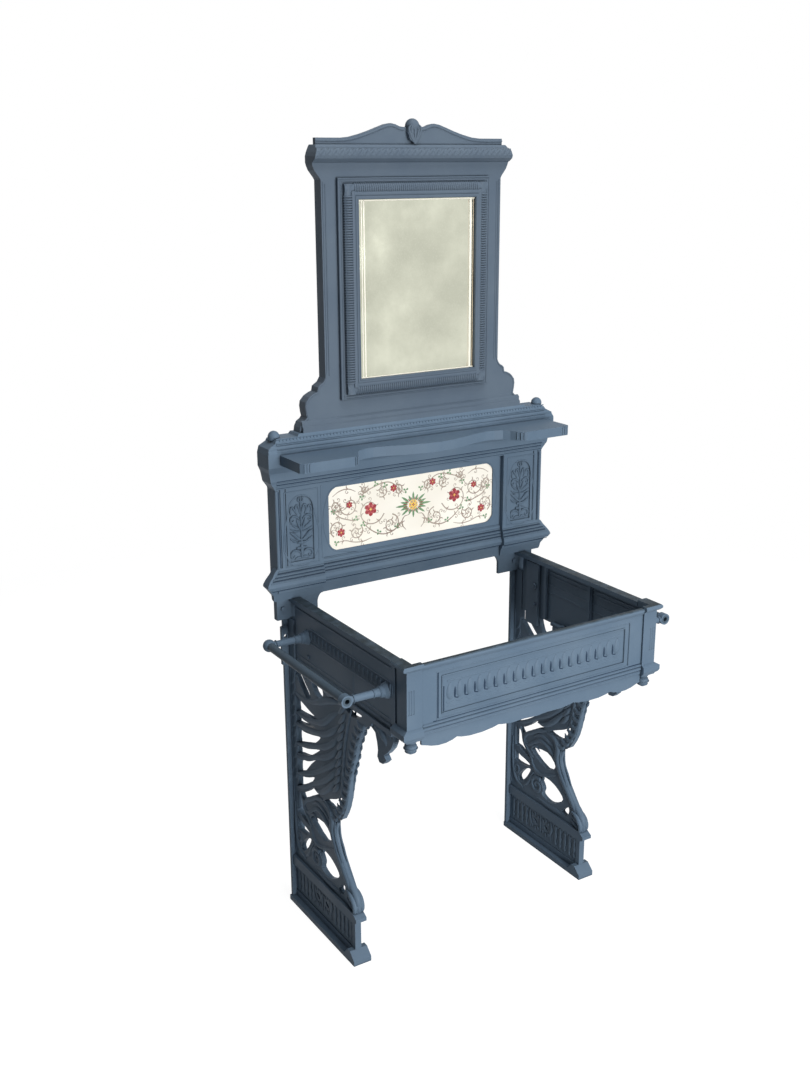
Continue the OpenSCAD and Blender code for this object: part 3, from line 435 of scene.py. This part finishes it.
def collar(sheet, x, y, rings):
    """Thin rings of (radius, lift) round a turned piece."""
    turn = [2 * math.pi * i / 16 for i in range(16)]
    return ribs([[(x + r * math.cos(a), y + r * math.sin(a), 1.3, lift) for a in turn]
                 for r, lift in rings], sheet, 1.0, ring=1, smooth=2, closed=True)


drop_x, drop_depth = 297, 479
drop_rings = ((12.2, -604), (8.6, -599), (13.2, -588), (10.5, -581))
collars = [collar(flat_sheet(0), side * drop_x, drop_depth, drop_rings)
           for side in (-1, 1)]
mount("drop_collars", collars, slate_paint)
keep(rim_paint, "left_corner_post", "right_corner_post")
keep(slate_paint, "left_drop_finial", "right_drop_finial")

# ---- Front apron ----
# One iron casting: a sunk panel with a carved row of tongues in two borders, reeds
# below it and a scalloped skirt. Dark lines of painted shade lie in its grooves.
apron_face, row_face = 489, 486.6
tongue_pitch, tongue_count = 23.5, 19
apron_lines = []
for i in range(tongue_count):
    x = tongue_pitch * (i - (tongue_count - 1) / 2)
    apron_lines.append([(x, 672, 3), (x, 677, 7), (x, 685, 8.4), (x, 692, 7.8), (x, 698, 6),
                        (x, 706, 2)])
    apron_lines.append([(x - 9, 667, 1), (x, 663, 1.6), (x + 9, 667, 1)])
apron_lines += [[(-218, z, r), (218, z, r)] for z, r in ((711, 1.8), (657, 1.4))]
apron_carving = ribs(apron_lines, front_sheet(row_face), 0.4)
apron_edge = 277
reeds = [[(-apron_edge, z, half, u), (apron_edge, z, half, u)] for z, half, u in
         ((638, 1.2, 487.5), (631, 1.8, 491.2), (623.5, 2.6, 491.4), (614, 2.2, 490))]
apron_reeds = ribs(reeds, front_sheet(0), 0.8)
border = []
for w, z0, z1, r in ((244, 636, 736, 1.6), (231, 647, 725, 1.4)):
    border.append([(-w, z0, r), (-w + .01, z0 + .01, r), (w - .01, z0 + .01, r), (w, z0, r),
                   (w, z1, r), (w - .01, z1, r), (-w + .01, z1, r), (-w, z1, r)])
apron_border = ribs(border, front_sheet(apron_face - 0.5), 0.7, closed=True, smooth=1)
mount("apron_carving", [apron_carving, apron_reeds, apron_border], slate_paint)
keep(rim_paint, "front_apron")
# A near-black paint for lines of painted shade in grooves and under mouldings.
painted_shade = coated("painted_shade", (0.016, 0.030, 0.054), (0.026, 0.044, 0.074), 0.7, specular=0.1)


def lay_shade_lines(name, shade_lines):
    """Lines of painted shade lying on the casting, each point with its distance from the wall."""
    mount(name, [ribs(shade_lines, front_sheet(0), 0.25, ring=1)], painted_shade)


shade_lines = []
for i in range(tongue_count - 1):
    x = tongue_pitch * (i + 1 - tongue_count / 2)
    shade_lines.append([(x, 673, 1.4, row_face), (x, 679, 2.4, row_face), (x, 688, 2, row_face),
                 (x, 695, 0.8, row_face)])
    shade_lines.append([(x, 673, 1, row_face), (x + 8, 671, 1.2, row_face)])
shade_lines += [[(x, z0, half, u), (x, z1, half, u)] for x, z0, z1, half, u in
         ((-239.8, 638, 734, 1.6, 487.6), (-226, 650, 702, 1.4, 486.6))]
shade_lines += [[(-252, z, half, u), (apron_edge, z, half, u)] for z, half, u in
         ((634.6, 1.3, 489.1), (628, 1.2, 490.1), (619, 0.9, 490.1))]
lay_shade_lines("apron_painted_shade", shade_lines)

# ---- Towel arms and rails ----
# Turned iron arms with a flared root on each panel, a ball on the rear one and an
# eye on the front one for the hollow rail.
keep(slate_paint, "left_rear_towel_arm", "left_front_towel_arm", "right_rear_towel_arm",
     "right_front_towel_arm")
arm_height, arm_depths = 690, (92, 420)
arm_rings = ((14.5, 316), (10.5, 331), (8.3, 345), (8, 389))
collars = [collar(side_sheet(0), depth, arm_height, [(r, -side * x) for r, x in arm_rings])
           for side in (-1, 1) for depth in arm_depths]
mount("towel_arm_collars", collars, slate_paint)
rail_paint = paint("slate_paint_rail", (0.056, 0.084, 0.112), (0.072, 0.102, 0.134))
keep(rail_paint, "left_towel_rail", "right_towel_rail")

# ---- Splashback ----
# Iron casting with a wide moulded base that steps out under its two pilasters, each
# with a sunk arched panel and a carved plant in a vase. A round edge runs up both
# sides, and dark lines of painted shade lie along the mouldings.
field_edge, pilaster_edge, outer_edge, pilaster_mid = 240, 241, 349, 292
pilaster_face, panel_face, tile_lip = 37, 34, 25
sprig = [
    [(0, 849, 2), (0, 860, 3), (0, 868, 4.5), (0, 876, 4), (0, 881, 2), (0, 885, 4),
     (0, 890, 2.5), (0, 902, 2), (0, 914, 2.8), (0, 926, 1.5)],
    [(0, 928, 1.5), (0, 938, 3), (0, 947, 1.5), (0, 962, 1.6), (0, 973, 3.2), (0, 986, 1)],
    [(-9, 885, 3), (9, 885, 3)],
    [(-12, 873, 3), (12, 873, 3)],
]
for side in (-1, 1):
    sprig += [[(side * x, z, half) for x, z, half in line] for line in (
        [(1, 974, 1.5), (6, 979, 2.6), (4, 986, 1.4)],
        [(2, 950, 1.5), (5, 962, 2.2), (9, 968, 2.4), (13, 962, 2.3), (12, 953, 1.5)],
        [(9, 948, 1.5), (16, 959, 2.2), (21, 965, 2.2), (25, 957, 2.2), (23, 949, 1.5)],
        [(3, 935, 1.5), (11, 943, 2.6), (20, 944, 2.8), (25, 937, 2.4), (21, 932, 2),
         (17, 936, 1.5)],
        [(1, 912, 1.5), (5, 922, 3), (9, 933, 2.4), (10, 939, 1)],
        [(6, 917, 1.5), (15, 922, 2.8), (24, 930, 1.2)],
        [(4, 910, 1.5), (14, 911, 2.5), (26, 918, 1)],
        [(2, 890, 2), (10, 896, 3.8), (19, 905, 4), (27, 910, 1.2)],
        [(10, 886, 1.5), (17, 889, 2.8), (26, 896, 1.2)],
        [(3, 862, 2), (12, 868, 2.8), (22, 866, 3), (26, 858, 2.6), (21, 852, 2.2),
         (16, 857, 1.6)],
        [(2, 851, 2), (9, 852, 3), (17, 848, 1.4)])]


def arch(w, z0, z1, half):
    """A closed line round an arched panel."""
    line = [(-w, z0, half), (w, z0, half), (w, z1 - w, half)]
    for i in range(1, 8):
        a = math.pi * i / 8
        line.append((w * math.cos(a), z1 - w + w * math.sin(a), half))
    return line + [(-w, z1 - w, half)]


def square_frame(x0, x1, z0, z1, half):
    """A closed line round a rectangle, with tight corners."""
    return [(x0, z0, half), (x1, z0, half), (x1, z0 + 0.5, half), (x1, z1, half),
            (x1 - 0.5, z1, half), (x0, z1, half), (x0, z1 - 0.5, half), (x0, z0 + 0.5, half)]


def base_lines(rows, half):
    """Level lines of (height, depth, overhang) along the base, nearer on the pilasters."""
    lines = []
    for z, depth, overhang in rows:
        lines.append([(-field_edge, z, half, depth), (field_edge, z, half, depth)])
        lines += [[(side * pilaster_edge, z, half, depth + 9),
                   (side * (outer_edge + overhang), z, half, depth + 9)] for side in (-1, 1)]
    return lines


pilaster = [ribs(sprig, front_sheet(panel_face), 1.15),
            ribs([arch(29.5, 843, 990, 1.6)], front_sheet(pilaster_face), 0.8, closed=True),
            ribs([square_frame(-39, 41, 836, 1000, 1.8)], front_sheet(pilaster_face), 0.7,
                 closed=True, smooth=1)]
foliage = [copy_of(part, sideways(side * pilaster_mid)) for part in pilaster for side in (-1, 1)]
for part in pilaster:
    bpy.data.objects.remove(part)
edges = [[(side * x, z0, r), (side * x, z1, r)] for side in (-1, 1)
         for x, z0, z1, r in ((348.5, 834, 1006, 3), (243, 842, 1004, 1.8))]
edge_beads = ribs(edges, front_sheet(pilaster_face), 0.6)
base_beads = [[(-field_edge, 836, 1.6, 26), (field_edge, 836, 1.6, 26)]]
base_beads += base_lines(((791, 35.6, 21), (806, 34.3, 22), (813, 32.6, 16), (820, 31.2, 9),
                          (827, 28.8, 2)), 1.3)
field_beads = ribs(base_beads, front_sheet(0), 0.8)
tile_bead = ribs([[(-202, 847, 2), (202, 847, 2), (221, 866, 2), (221, 974, 2), (202, 993, 2),
                   (-202, 993, 2), (-221, 974, 2), (-221, 866, 2)]], front_sheet(tile_lip), 0.6,
                 closed=True)
mount("splashback_carving", foliage + [edge_beads, field_beads, tile_bead], slate_paint)
keep(slate_paint, "splashback")
upright = [[(side * 344.4, 836, 0.9, 37.2), (side * 344.4, 1004, 0.9, 37.2)]
           for side in (-1, 1)]
lay_shade_lines("splashback_painted_shade", upright + base_lines(
    ((788, 35.6, 21), (809.5, 33.4, 18), (816.5, 31.8, 12), (823.5, 29.8, 5)), 0.8))

# ---- Tile ----
# Glazed earthenware tile held behind the lip: cream glaze with fine sepia scrolls,
# red flowers with yellow eyes, and a yellow flower in a green wreath in the middle.
glaze = coated("cream_glaze", (0.88, 0.85, 0.77), (0.83, 0.79, 0.70), 0.12, bump=0.02)
keep(glaze, "splash_tile")
tile_face = 22.1
inks = {name: coated(name + "_ink", colour, dulled, 0.2, bump=0.02) for name, colour, dulled in (
    ("sepia", (0.26, 0.20, 0.16), (0.42, 0.36, 0.30)),
    ("rose", (0.22, 0.015, 0.03), (0.32, 0.04, 0.05)),
    ("petal", (0.42, 0.05, 0.07), (0.52, 0.14, 0.14)),
    ("leaf", (0.10, 0.22, 0.11), (0.20, 0.33, 0.18)),
    ("gold", (0.80, 0.42, 0.06), (0.85, 0.62, 0.16)))}
prints = {ink: [] for ink in inks}


def flower(x, y, size, ink, petals=5, turn=90, lift=0.0):
    """Petals round a point, widest towards their tips."""
    for i in range(petals):
        a = math.radians(turn + 360 * i / petals)
        c, s = math.cos(a), math.sin(a)
        prints[ink].append([(x + c * size * k, y + s * size * k, size * w, lift)
                            for k, w in ((0.12, 0.1), (0.5, 0.3), (0.8, 0.32), (1.0, 0.12))])


def sprout(line, every, size):
    """Small curls and leaflets that leave a vine on either side in turn."""
    for i in range(1, len(line) - 1, every):
        (x0, y0, _), (x1, y1, _) = line[i - 1], line[i + 1]
        way = math.atan2(y1 - y0, x1 - x0)
        hand = 1 if i // every % 2 else -1
        curl = [(line[i][0] + size * k * math.cos(way + hand * t),
                 line[i][1] + size * k * math.sin(way + hand * t), w)
                for k, t, w in ((0, 0.4, 0.7), (0.5, 0.5, 0.6), (0.95, 0.9, 0.6), (1.0, 1.4, 0.6),
                                (0.72, 1.6, 0.9), (0.66, 1.2, 0.6))]
        leaflet = [(line[i][0] + size * k * math.cos(way - hand * t),
                    line[i][1] + size * k * math.sin(way - hand * t), w)
                   for k, t, w in ((0, 0, 0.4), (0.35, 0.4, 1.2), (0.7, 0.65, 1.2), (1, 1.0, 0.3))]
        prints["sepia"] += [curl, leaflet]


vines = [spiral(x, y, start, start * 0.2, first, turns, 1.4, steps=16)
         for x, y, start, first, turns in
         ((112, 926, 37, 200, 1.1), (166, 944, 25, 20, -1.2), (60, 886, 23, 100, 1.3),
          (199, 948, 15, 200, 1.2), (82, 966, 15, 300, -1.2), (150, 882, 18, 140, 1.3),
          (196, 896, 20, 300, 1.2), (40, 962, 14, 40, 1.2), (128, 976, 10, 180, 1.1))]
vines += [
    [(22, 900, .6), (34, 884, 1.1), (48, 872, 1.4), (66, 866, 1.4), (84, 866, 1.4),
     (112, 880, 1.2), (134, 902, .6)],
    [(30, 950, .6), (44, 970, 1.1), (60, 982, 1.2), (78, 984, 1.2), (96, 980, 1.3), (130, 966, 1),
     (148, 946, .6)],
    [(140, 910, .6), (154, 908, 1.1), (168, 912, 1.3), (192, 922, 1.2), (208, 940, .6)],
    [(20, 866, .6), (30, 880, 1.3), (26, 896, 1), (12, 900, .6)],
    [(110, 862, .6), (132, 857, 1.1), (156, 859, 1.1), (180, 866, 1), (206, 862, .6)],
    [(150, 974, .6), (168, 982, 1.1), (190, 980, 1), (208, 970, .6)],
]
for vine in vines:
    sprout(vine, 2, 10)
prints["sepia"] += vines
for x, y, size in ((112, 928, 16), (52, 968, 9), (188, 886, 10), (166, 946, 8)):
    flower(x, y, size, "rose", petals=6)
    flower(x, y, size * 0.75, "petal", petals=6, turn=60, lift=0.2)
    flower(x, y, size * 0.55, "rose", petals=5, lift=0.4)
    flower(x, y, size * 0.22, "gold", petals=4, lift=0.6)
for x, y, turn in ((92, 872, 60), (74, 978, 310), (134, 958, 30), (150, 912, 100), (206, 936, 20),
                   (44, 878, 120), (132, 896, 340), (98, 984, 70), (200, 864, 160), (20, 958, 30)):
    flower(x, y, 7, "leaf", petals=3, turn=turn)
# The other half is the same, mirrored.
for drawn in prints.values():
    drawn += [[(-x, y, *rest) for x, y, *rest in line] for line in drawn]
# The wreath is wider than it is high, with long and short leaves in turn and a red
# stroke between each two.
tile_middle = 922
for i in range(32):
    a = math.radians(360 * i / 32)
    c, s = (1.2 + 0.35 * abs(math.cos(a))) * math.cos(a), math.sin(a)
    if i % 2:
        strokes = (("rose", ((10, .6), (14, 1.2), (18, .4))),)
    else:
        reach = 0.8 if i % 4 else 1.0
        strokes = (("leaf", ((11, .8), (17 * reach, 2.6), (24 * reach, 2.4), (30 * reach, .5))),
                   ("sepia", ((12, .4), (20 * reach, .7), (27 * reach, .4))))
    for ink, stroke in strokes:
        prints[ink].append([(c * k, tile_middle + s * k, w) for k, w in stroke])
flower(0, tile_middle, 12, "gold", petals=10)
flower(0, tile_middle, 10, "sepia", petals=7, turn=20, lift=0.2)
flower(0, tile_middle, 8, "gold", petals=6, lift=0.4)
flower(0, tile_middle, 3.5, "rose", petals=4, lift=0.6)
for ink, drawn in prints.items():
    print_piece = ribs(drawn, front_sheet(tile_face), 0.08, ring=1)
    mount("tile_print_" + ink, [print_piece], inks[ink])

# ---- Shoulder frieze and shelf ----
# Hollow moulded iron casting with a knob at each end and a row of beads, and a solid
# serpentine shelf screwed to its face. Dark lines of painted shade lie in the mouldings below it.
frieze_lines = [[(-outer_edge, z, 1.3, u), (outer_edge, z, 1.3, u)] for z, u in
                ((1092, 52.6), (1098, 50.2), (1106, 46.3), (1109, 46.3), (1117, 42.8),
                 (1014.5, 38.4), (1023, 40.8))]
frieze_reeds = ribs(frieze_lines, front_sheet(0), 0.8)
bead_row = [[(x, 1112, 1), (x, 1114, 2), (x, 1116, 1)] for x in range(-340, 345, 8)]
frieze_beads = ribs(bead_row, front_sheet(44.2), 0.8, ring=1, smooth=2)
flutes = [[(side * x, 1067, 1.8, u), (side * x, 1084, 1.8, u)] for side in (-1, 1)
          for x, u in ((205.5, 135), (211, 142), (217, 146), (325, 148), (331, 148), (337, 147.5))]
shelf_flutes = ribs(flutes, front_sheet(0), 0.9)
mount("frieze_carving", [frieze_reeds, frieze_beads], slate_paint)
lay_shade_lines("frieze_painted_shade", [[(-outer_edge, z, half, u), (outer_edge, z, half, u)] for z, half, u in
                      ((1011, 0.5, 37.9), (1019, 1, 39.6), (1027.4, 1.1, 42.8))])
mount("shelf_flutes", [shelf_flutes], slate_paint)
keep(slate_paint, "shoulder_frieze", "shelf")

# ---- Mirror frame ----
# One iron casting: scrolled feet, a raised ring with a carved leaf band round the
# plate, a cornice with a leaf roll, and a pediment with a shell finial.
sight_x, sight_z, sight_low, sight_high = 145.5, 1408, 1224.5, 1591.5
body_face, cornice_face, pediment_face, shell_face = 31, 47, 24, 34
band = ([], [])  # up the sides, across the top and bottom
for half, middle, across in ((sight_high - sight_z, sight_x, False),
                             (sight_x, sight_high - sight_z, True)):
    count = round((half + 6) / 5.1)
    for i in range(-count, count + 1):
        k = (half + 6) * i / count
        for side in (-1, 1):
            leaf = [(k + 1, side * (middle + 14), 1.4, 46.6), (k, side * (middle + 17), 2.1, 48),
                    (k, side * (middle + 21), 2.2, 48.2), (k, side * (middle + 26), 2.2, 46.8),
                    (k, side * (middle + 30), 2, 43.5), (k, side * (middle + 31.5), 1.5, 40)]
            band[across].append([(a, sight_z + b, w, u) if across else (b, sight_z + a, w, u)
                                 for a, b, w, u in leaf])
ovolo = []
for side in (-1, 1):
    for out, half, u in ((11, 5.5, 45.8), (20.5, 10.5, 41.5)):
        x, z = side * (sight_x + out), sight_z + side * (sight_high - sight_z + out)
        reach = out + half
        ovolo.append([(-sight_x - reach, z, half, u), (sight_x + reach, z, half, u)])
        ovolo.append([(x, sight_low - reach, half, u + 0.3),
                      (x, sight_high + reach, half, u + 0.3)])
mirror_parts = [ribs(band[0], front_sheet(0), 0.8, ring=1, smooth=3),
                ribs(band[1], front_sheet(0), 0.5, ring=1, smooth=3),
                ribs(ovolo, front_sheet(0), 0.55, ring=5)]
rims = [square_frame(-sight_x - g, sight_x + g, sight_low - g, sight_high + g, r)
        for g, r in ((41, 1.8), (35.5, 1.6), (29, 1.6), (8, 2.2), (1.5, 1.4))]
for line, depth in zip(rims, (38, 38, 44, 46, 49)):
    mirror_parts.append(ribs([line], front_sheet(depth), 0.8, closed=True, smooth=1))
body_x = 222.5
outline = [(64, 1126), (62, 1134), (57, 1143), (50, 1148), (46, 1153), (48, 1163), (49, 1175),
           (47, 1185), (39, 1195), (28, 1201), (20, 1204), (18, 1214), (7, 1222), (1, 1232),
           (-2, 1260), (-2, 1400), (-2, 1626)]
edging = [[(side * (body_x + x - 2.5), z, 1.9) for x, z in outline] for side in (-1, 1)]
edging += [[(side * (body_x - 10), 1236, 1.6), (side * (body_x - 10), 1622, 1.6)]
           for side in (-1, 1)]
mirror_parts.append(ribs(edging, front_sheet(body_face), 0.8))
roll = []
for i in range(33):
    x = -228.8 + 14.3 * i
    roll.append([(x - 7, 1674, 1), (x - 2, 1680, 4), (x + 4, 1686, 3.4), (x + 8, 1690, 1)])
mirror_parts.append(ribs(roll, front_sheet(cornice_face), 0.55, ring=1, smooth=3))
crest = [(229, 1709), (170, 1709), (149, 1711), (124, 1717), (104, 1723), (84, 1730), (66, 1736),
         (53, 1738), (42, 1736), (32, 1732), (22, 1731)]
mirror_parts.append(ribs([[(side * x, z - 3, 2.2) for x, z in crest] for side in (-1, 1)],
                         front_sheet(pediment_face), 0.8))
shell = [[(0, 1700, 2), (math.sin(a) * 12, 1718, 3.2), (math.sin(a) * 15, 1731, 2.6),
          (math.sin(a) * 9, 1738, 1)] for a in (-1.2, -0.6, 0, 0.6, 1.2)]
mirror_parts.append(ribs(shell, front_sheet(shell_face), 0.8))
# The frame has its own darker, greyer copy of the slate paint.
greyer_paint = paint("slate_paint_greyer", (0.080, 0.109, 0.147), (0.094, 0.125, 0.162))
mount("mirror_carving", mirror_parts, greyer_paint)
keep(greyer_paint, "mirror_frame")

# ---- Mirror plate, backboard and strips ----
# Old silvered plate with a bevel, clouded to a pale cream, backed by a pine board
# that two pine strips and brass screws hold in the rebate.
# Pale lines of painted highlight along the bevel's edges.
glint = coated("bevel_glint", (0.80, 0.77, 0.66), (0.74, 0.71, 0.60), 0.2, bump=0.01)
plate_low, plate_high = sight_low + 1.5, sight_high - 1.5
glint_face, shade_face = 41.9, 41.7
bevel_lines = [[(x, plate_low, half), (x, plate_high, half)]
               for x, half in ((-130, 1.2), (-136, 0.9), (137, 2.8))]
bevel_lines += [[(-sight_x, z, 1.2), (sight_x, z, 1.2)] for z in (plate_low, plate_high - 1)]
mount("mirror_bevel_glint", [ribs(bevel_lines, front_sheet(glint_face), 0.15, ring=1)], glint)
# Tan lines of painted shade along the bevel, beside the painted highlights.
edge_shade_paint = coated("bevel_painted_shade", (0.42, 0.35, 0.24), (0.50, 0.43, 0.32), 0.3, bump=0.01)
bevel_shades = [[(x, plate_low, 0.8), (x, plate_high, 0.8)] for x in (-143, 131, 143.5)]
mount("mirror_bevel_shade", [ribs(bevel_shades, front_sheet(shade_face), 0.15, ring=1)],
      edge_shade_paint)
silver = coated("aged_silver", (0.56, 0.57, 0.465), (0.69, 0.70, 0.575), 0.12, metallic=1.0,
                bump=0.01)
keep(silver, "mirror_glass")
pine = coated("bare_pine", (0.36, 0.22, 0.11), (0.26, 0.15, 0.07), 0.65, bump=0.3)
keep(pine, "mirror_backboard", "mirror_retaining_strips")
brass = coated("dull_brass", (0.42, 0.27, 0.09), (0.30, 0.19, 0.07), 0.4, metallic=1.0)
keep(brass, "mirror_strip_screws")

# ---- Bolts, nuts, screws and the tile's strips ----
# Dark steel hardware. The heads that show were painted over with the castings.
steel = coated("dark_steel", (0.10, 0.105, 0.11), (0.16, 0.15, 0.14), 0.45, metallic=0.8)
keep(steel, "tile_retaining_strips", "tile_strip_screws", "apron_bolts", "side_panel_bolts",
     "frieze_bolts", "mirror_bolts", "shelf_screws")
keep(slate_paint, "leg_bolts", "splashback_bolts", "towel_arm_nuts")

# ---- Studio ----
# White all round, and a floor that the camera and the mirror see as white apart
# from the stand's shadow. A key lamp stands high at the front right and a fill
# lamp low at the front left, and a wide soft one hangs above.
scene = bpy.context.scene
scene.view_settings.view_transform = "Standard"


def seen_directly(tree):
    """1 for what the camera, a mirror or glass looks at, 0 for the light that falls on things."""
    path = tree.nodes.new("ShaderNodeLightPath")
    value = path.outputs["Is Camera Ray"]
    for label in ("Is Glossy Ray", "Is Transmission Ray"):
        either = tree.nodes.new("ShaderNodeMath")
        either.operation = "MAXIMUM"
        tree.links.new(value, either.inputs[0])
        tree.links.new(path.outputs[label], either.inputs[1])
        value = either.outputs[0]
    return value


bpy.ops.mesh.primitive_circle_add(vertices=96, radius=3, fill_type="NGON")
floor = bpy.context.object
floor.name = "floor"
white = bpy.data.materials.new("studio_white")
white.use_nodes = True
tree = white.node_tree
paper = tree.nodes["Principled BSDF"]
paper.inputs["Base Color"].default_value = (0.22, 0.22, 0.22, 1)
paper.inputs["Roughness"].default_value = 0.9
paper.inputs["Specular IOR Level"].default_value = 0
glow = tree.nodes.new("ShaderNodeEmission")
glow.inputs["Strength"].default_value = 0.93
dark = tree.nodes.new("ShaderNodeEmission")
dark.inputs["Strength"].default_value = 0
chosen = tree.nodes.new("ShaderNodeMixShader")
total = tree.nodes.new("ShaderNodeAddShader")
tree.links.new(seen_directly(tree), chosen.inputs[0])
tree.links.new(dark.outputs[0], chosen.inputs[1])
tree.links.new(glow.outputs[0], chosen.inputs[2])
tree.links.new(paper.outputs[0], total.inputs[0])
tree.links.new(chosen.outputs[0], total.inputs[1])
tree.links.new(total.outputs[0], tree.nodes["Material Output"].inputs["Surface"])
floor.data.materials.append(white)

stand_middle = Vector((0, 0, 0.9))
for name, place, size, power in (("key", (0.6, -3.4, 1.7), 1.0, 50),
                                 ("fill", (-0.35, -3.6, 0.7), 0.9, 106),
                                 ("overhead", (0.1, -0.9, 4.4), 2.2, 98)):
    bpy.ops.object.light_add(type="AREA", location=place)
    lamp = bpy.context.object
    lamp.name = name
    lamp.data.size = size
    lamp.data.energy = power
    aim = stand_middle - lamp.location
    lamp.rotation_euler = aim.to_track_quat("-Z", "Y").to_euler()

sky = bpy.data.worlds.new("studio_sky")
scene.world = sky
sky.use_nodes = True
tree = sky.node_tree
dim = tree.nodes["Background"]
dim.inputs["Color"].default_value = (0.95, 0.97, 1, 1)
dim.inputs["Strength"].default_value = 0.09
bright = tree.nodes.new("ShaderNodeBackground")
bright.inputs["Color"].default_value = (1, 1, 1, 1)
chosen = tree.nodes.new("ShaderNodeMixShader")
tree.links.new(seen_directly(tree), chosen.inputs[0])
tree.links.new(dim.outputs[0], chosen.inputs[1])
tree.links.new(bright.outputs[0], chosen.inputs[2])
tree.links.new(chosen.outputs[0], tree.nodes["World Output"].inputs["Surface"])
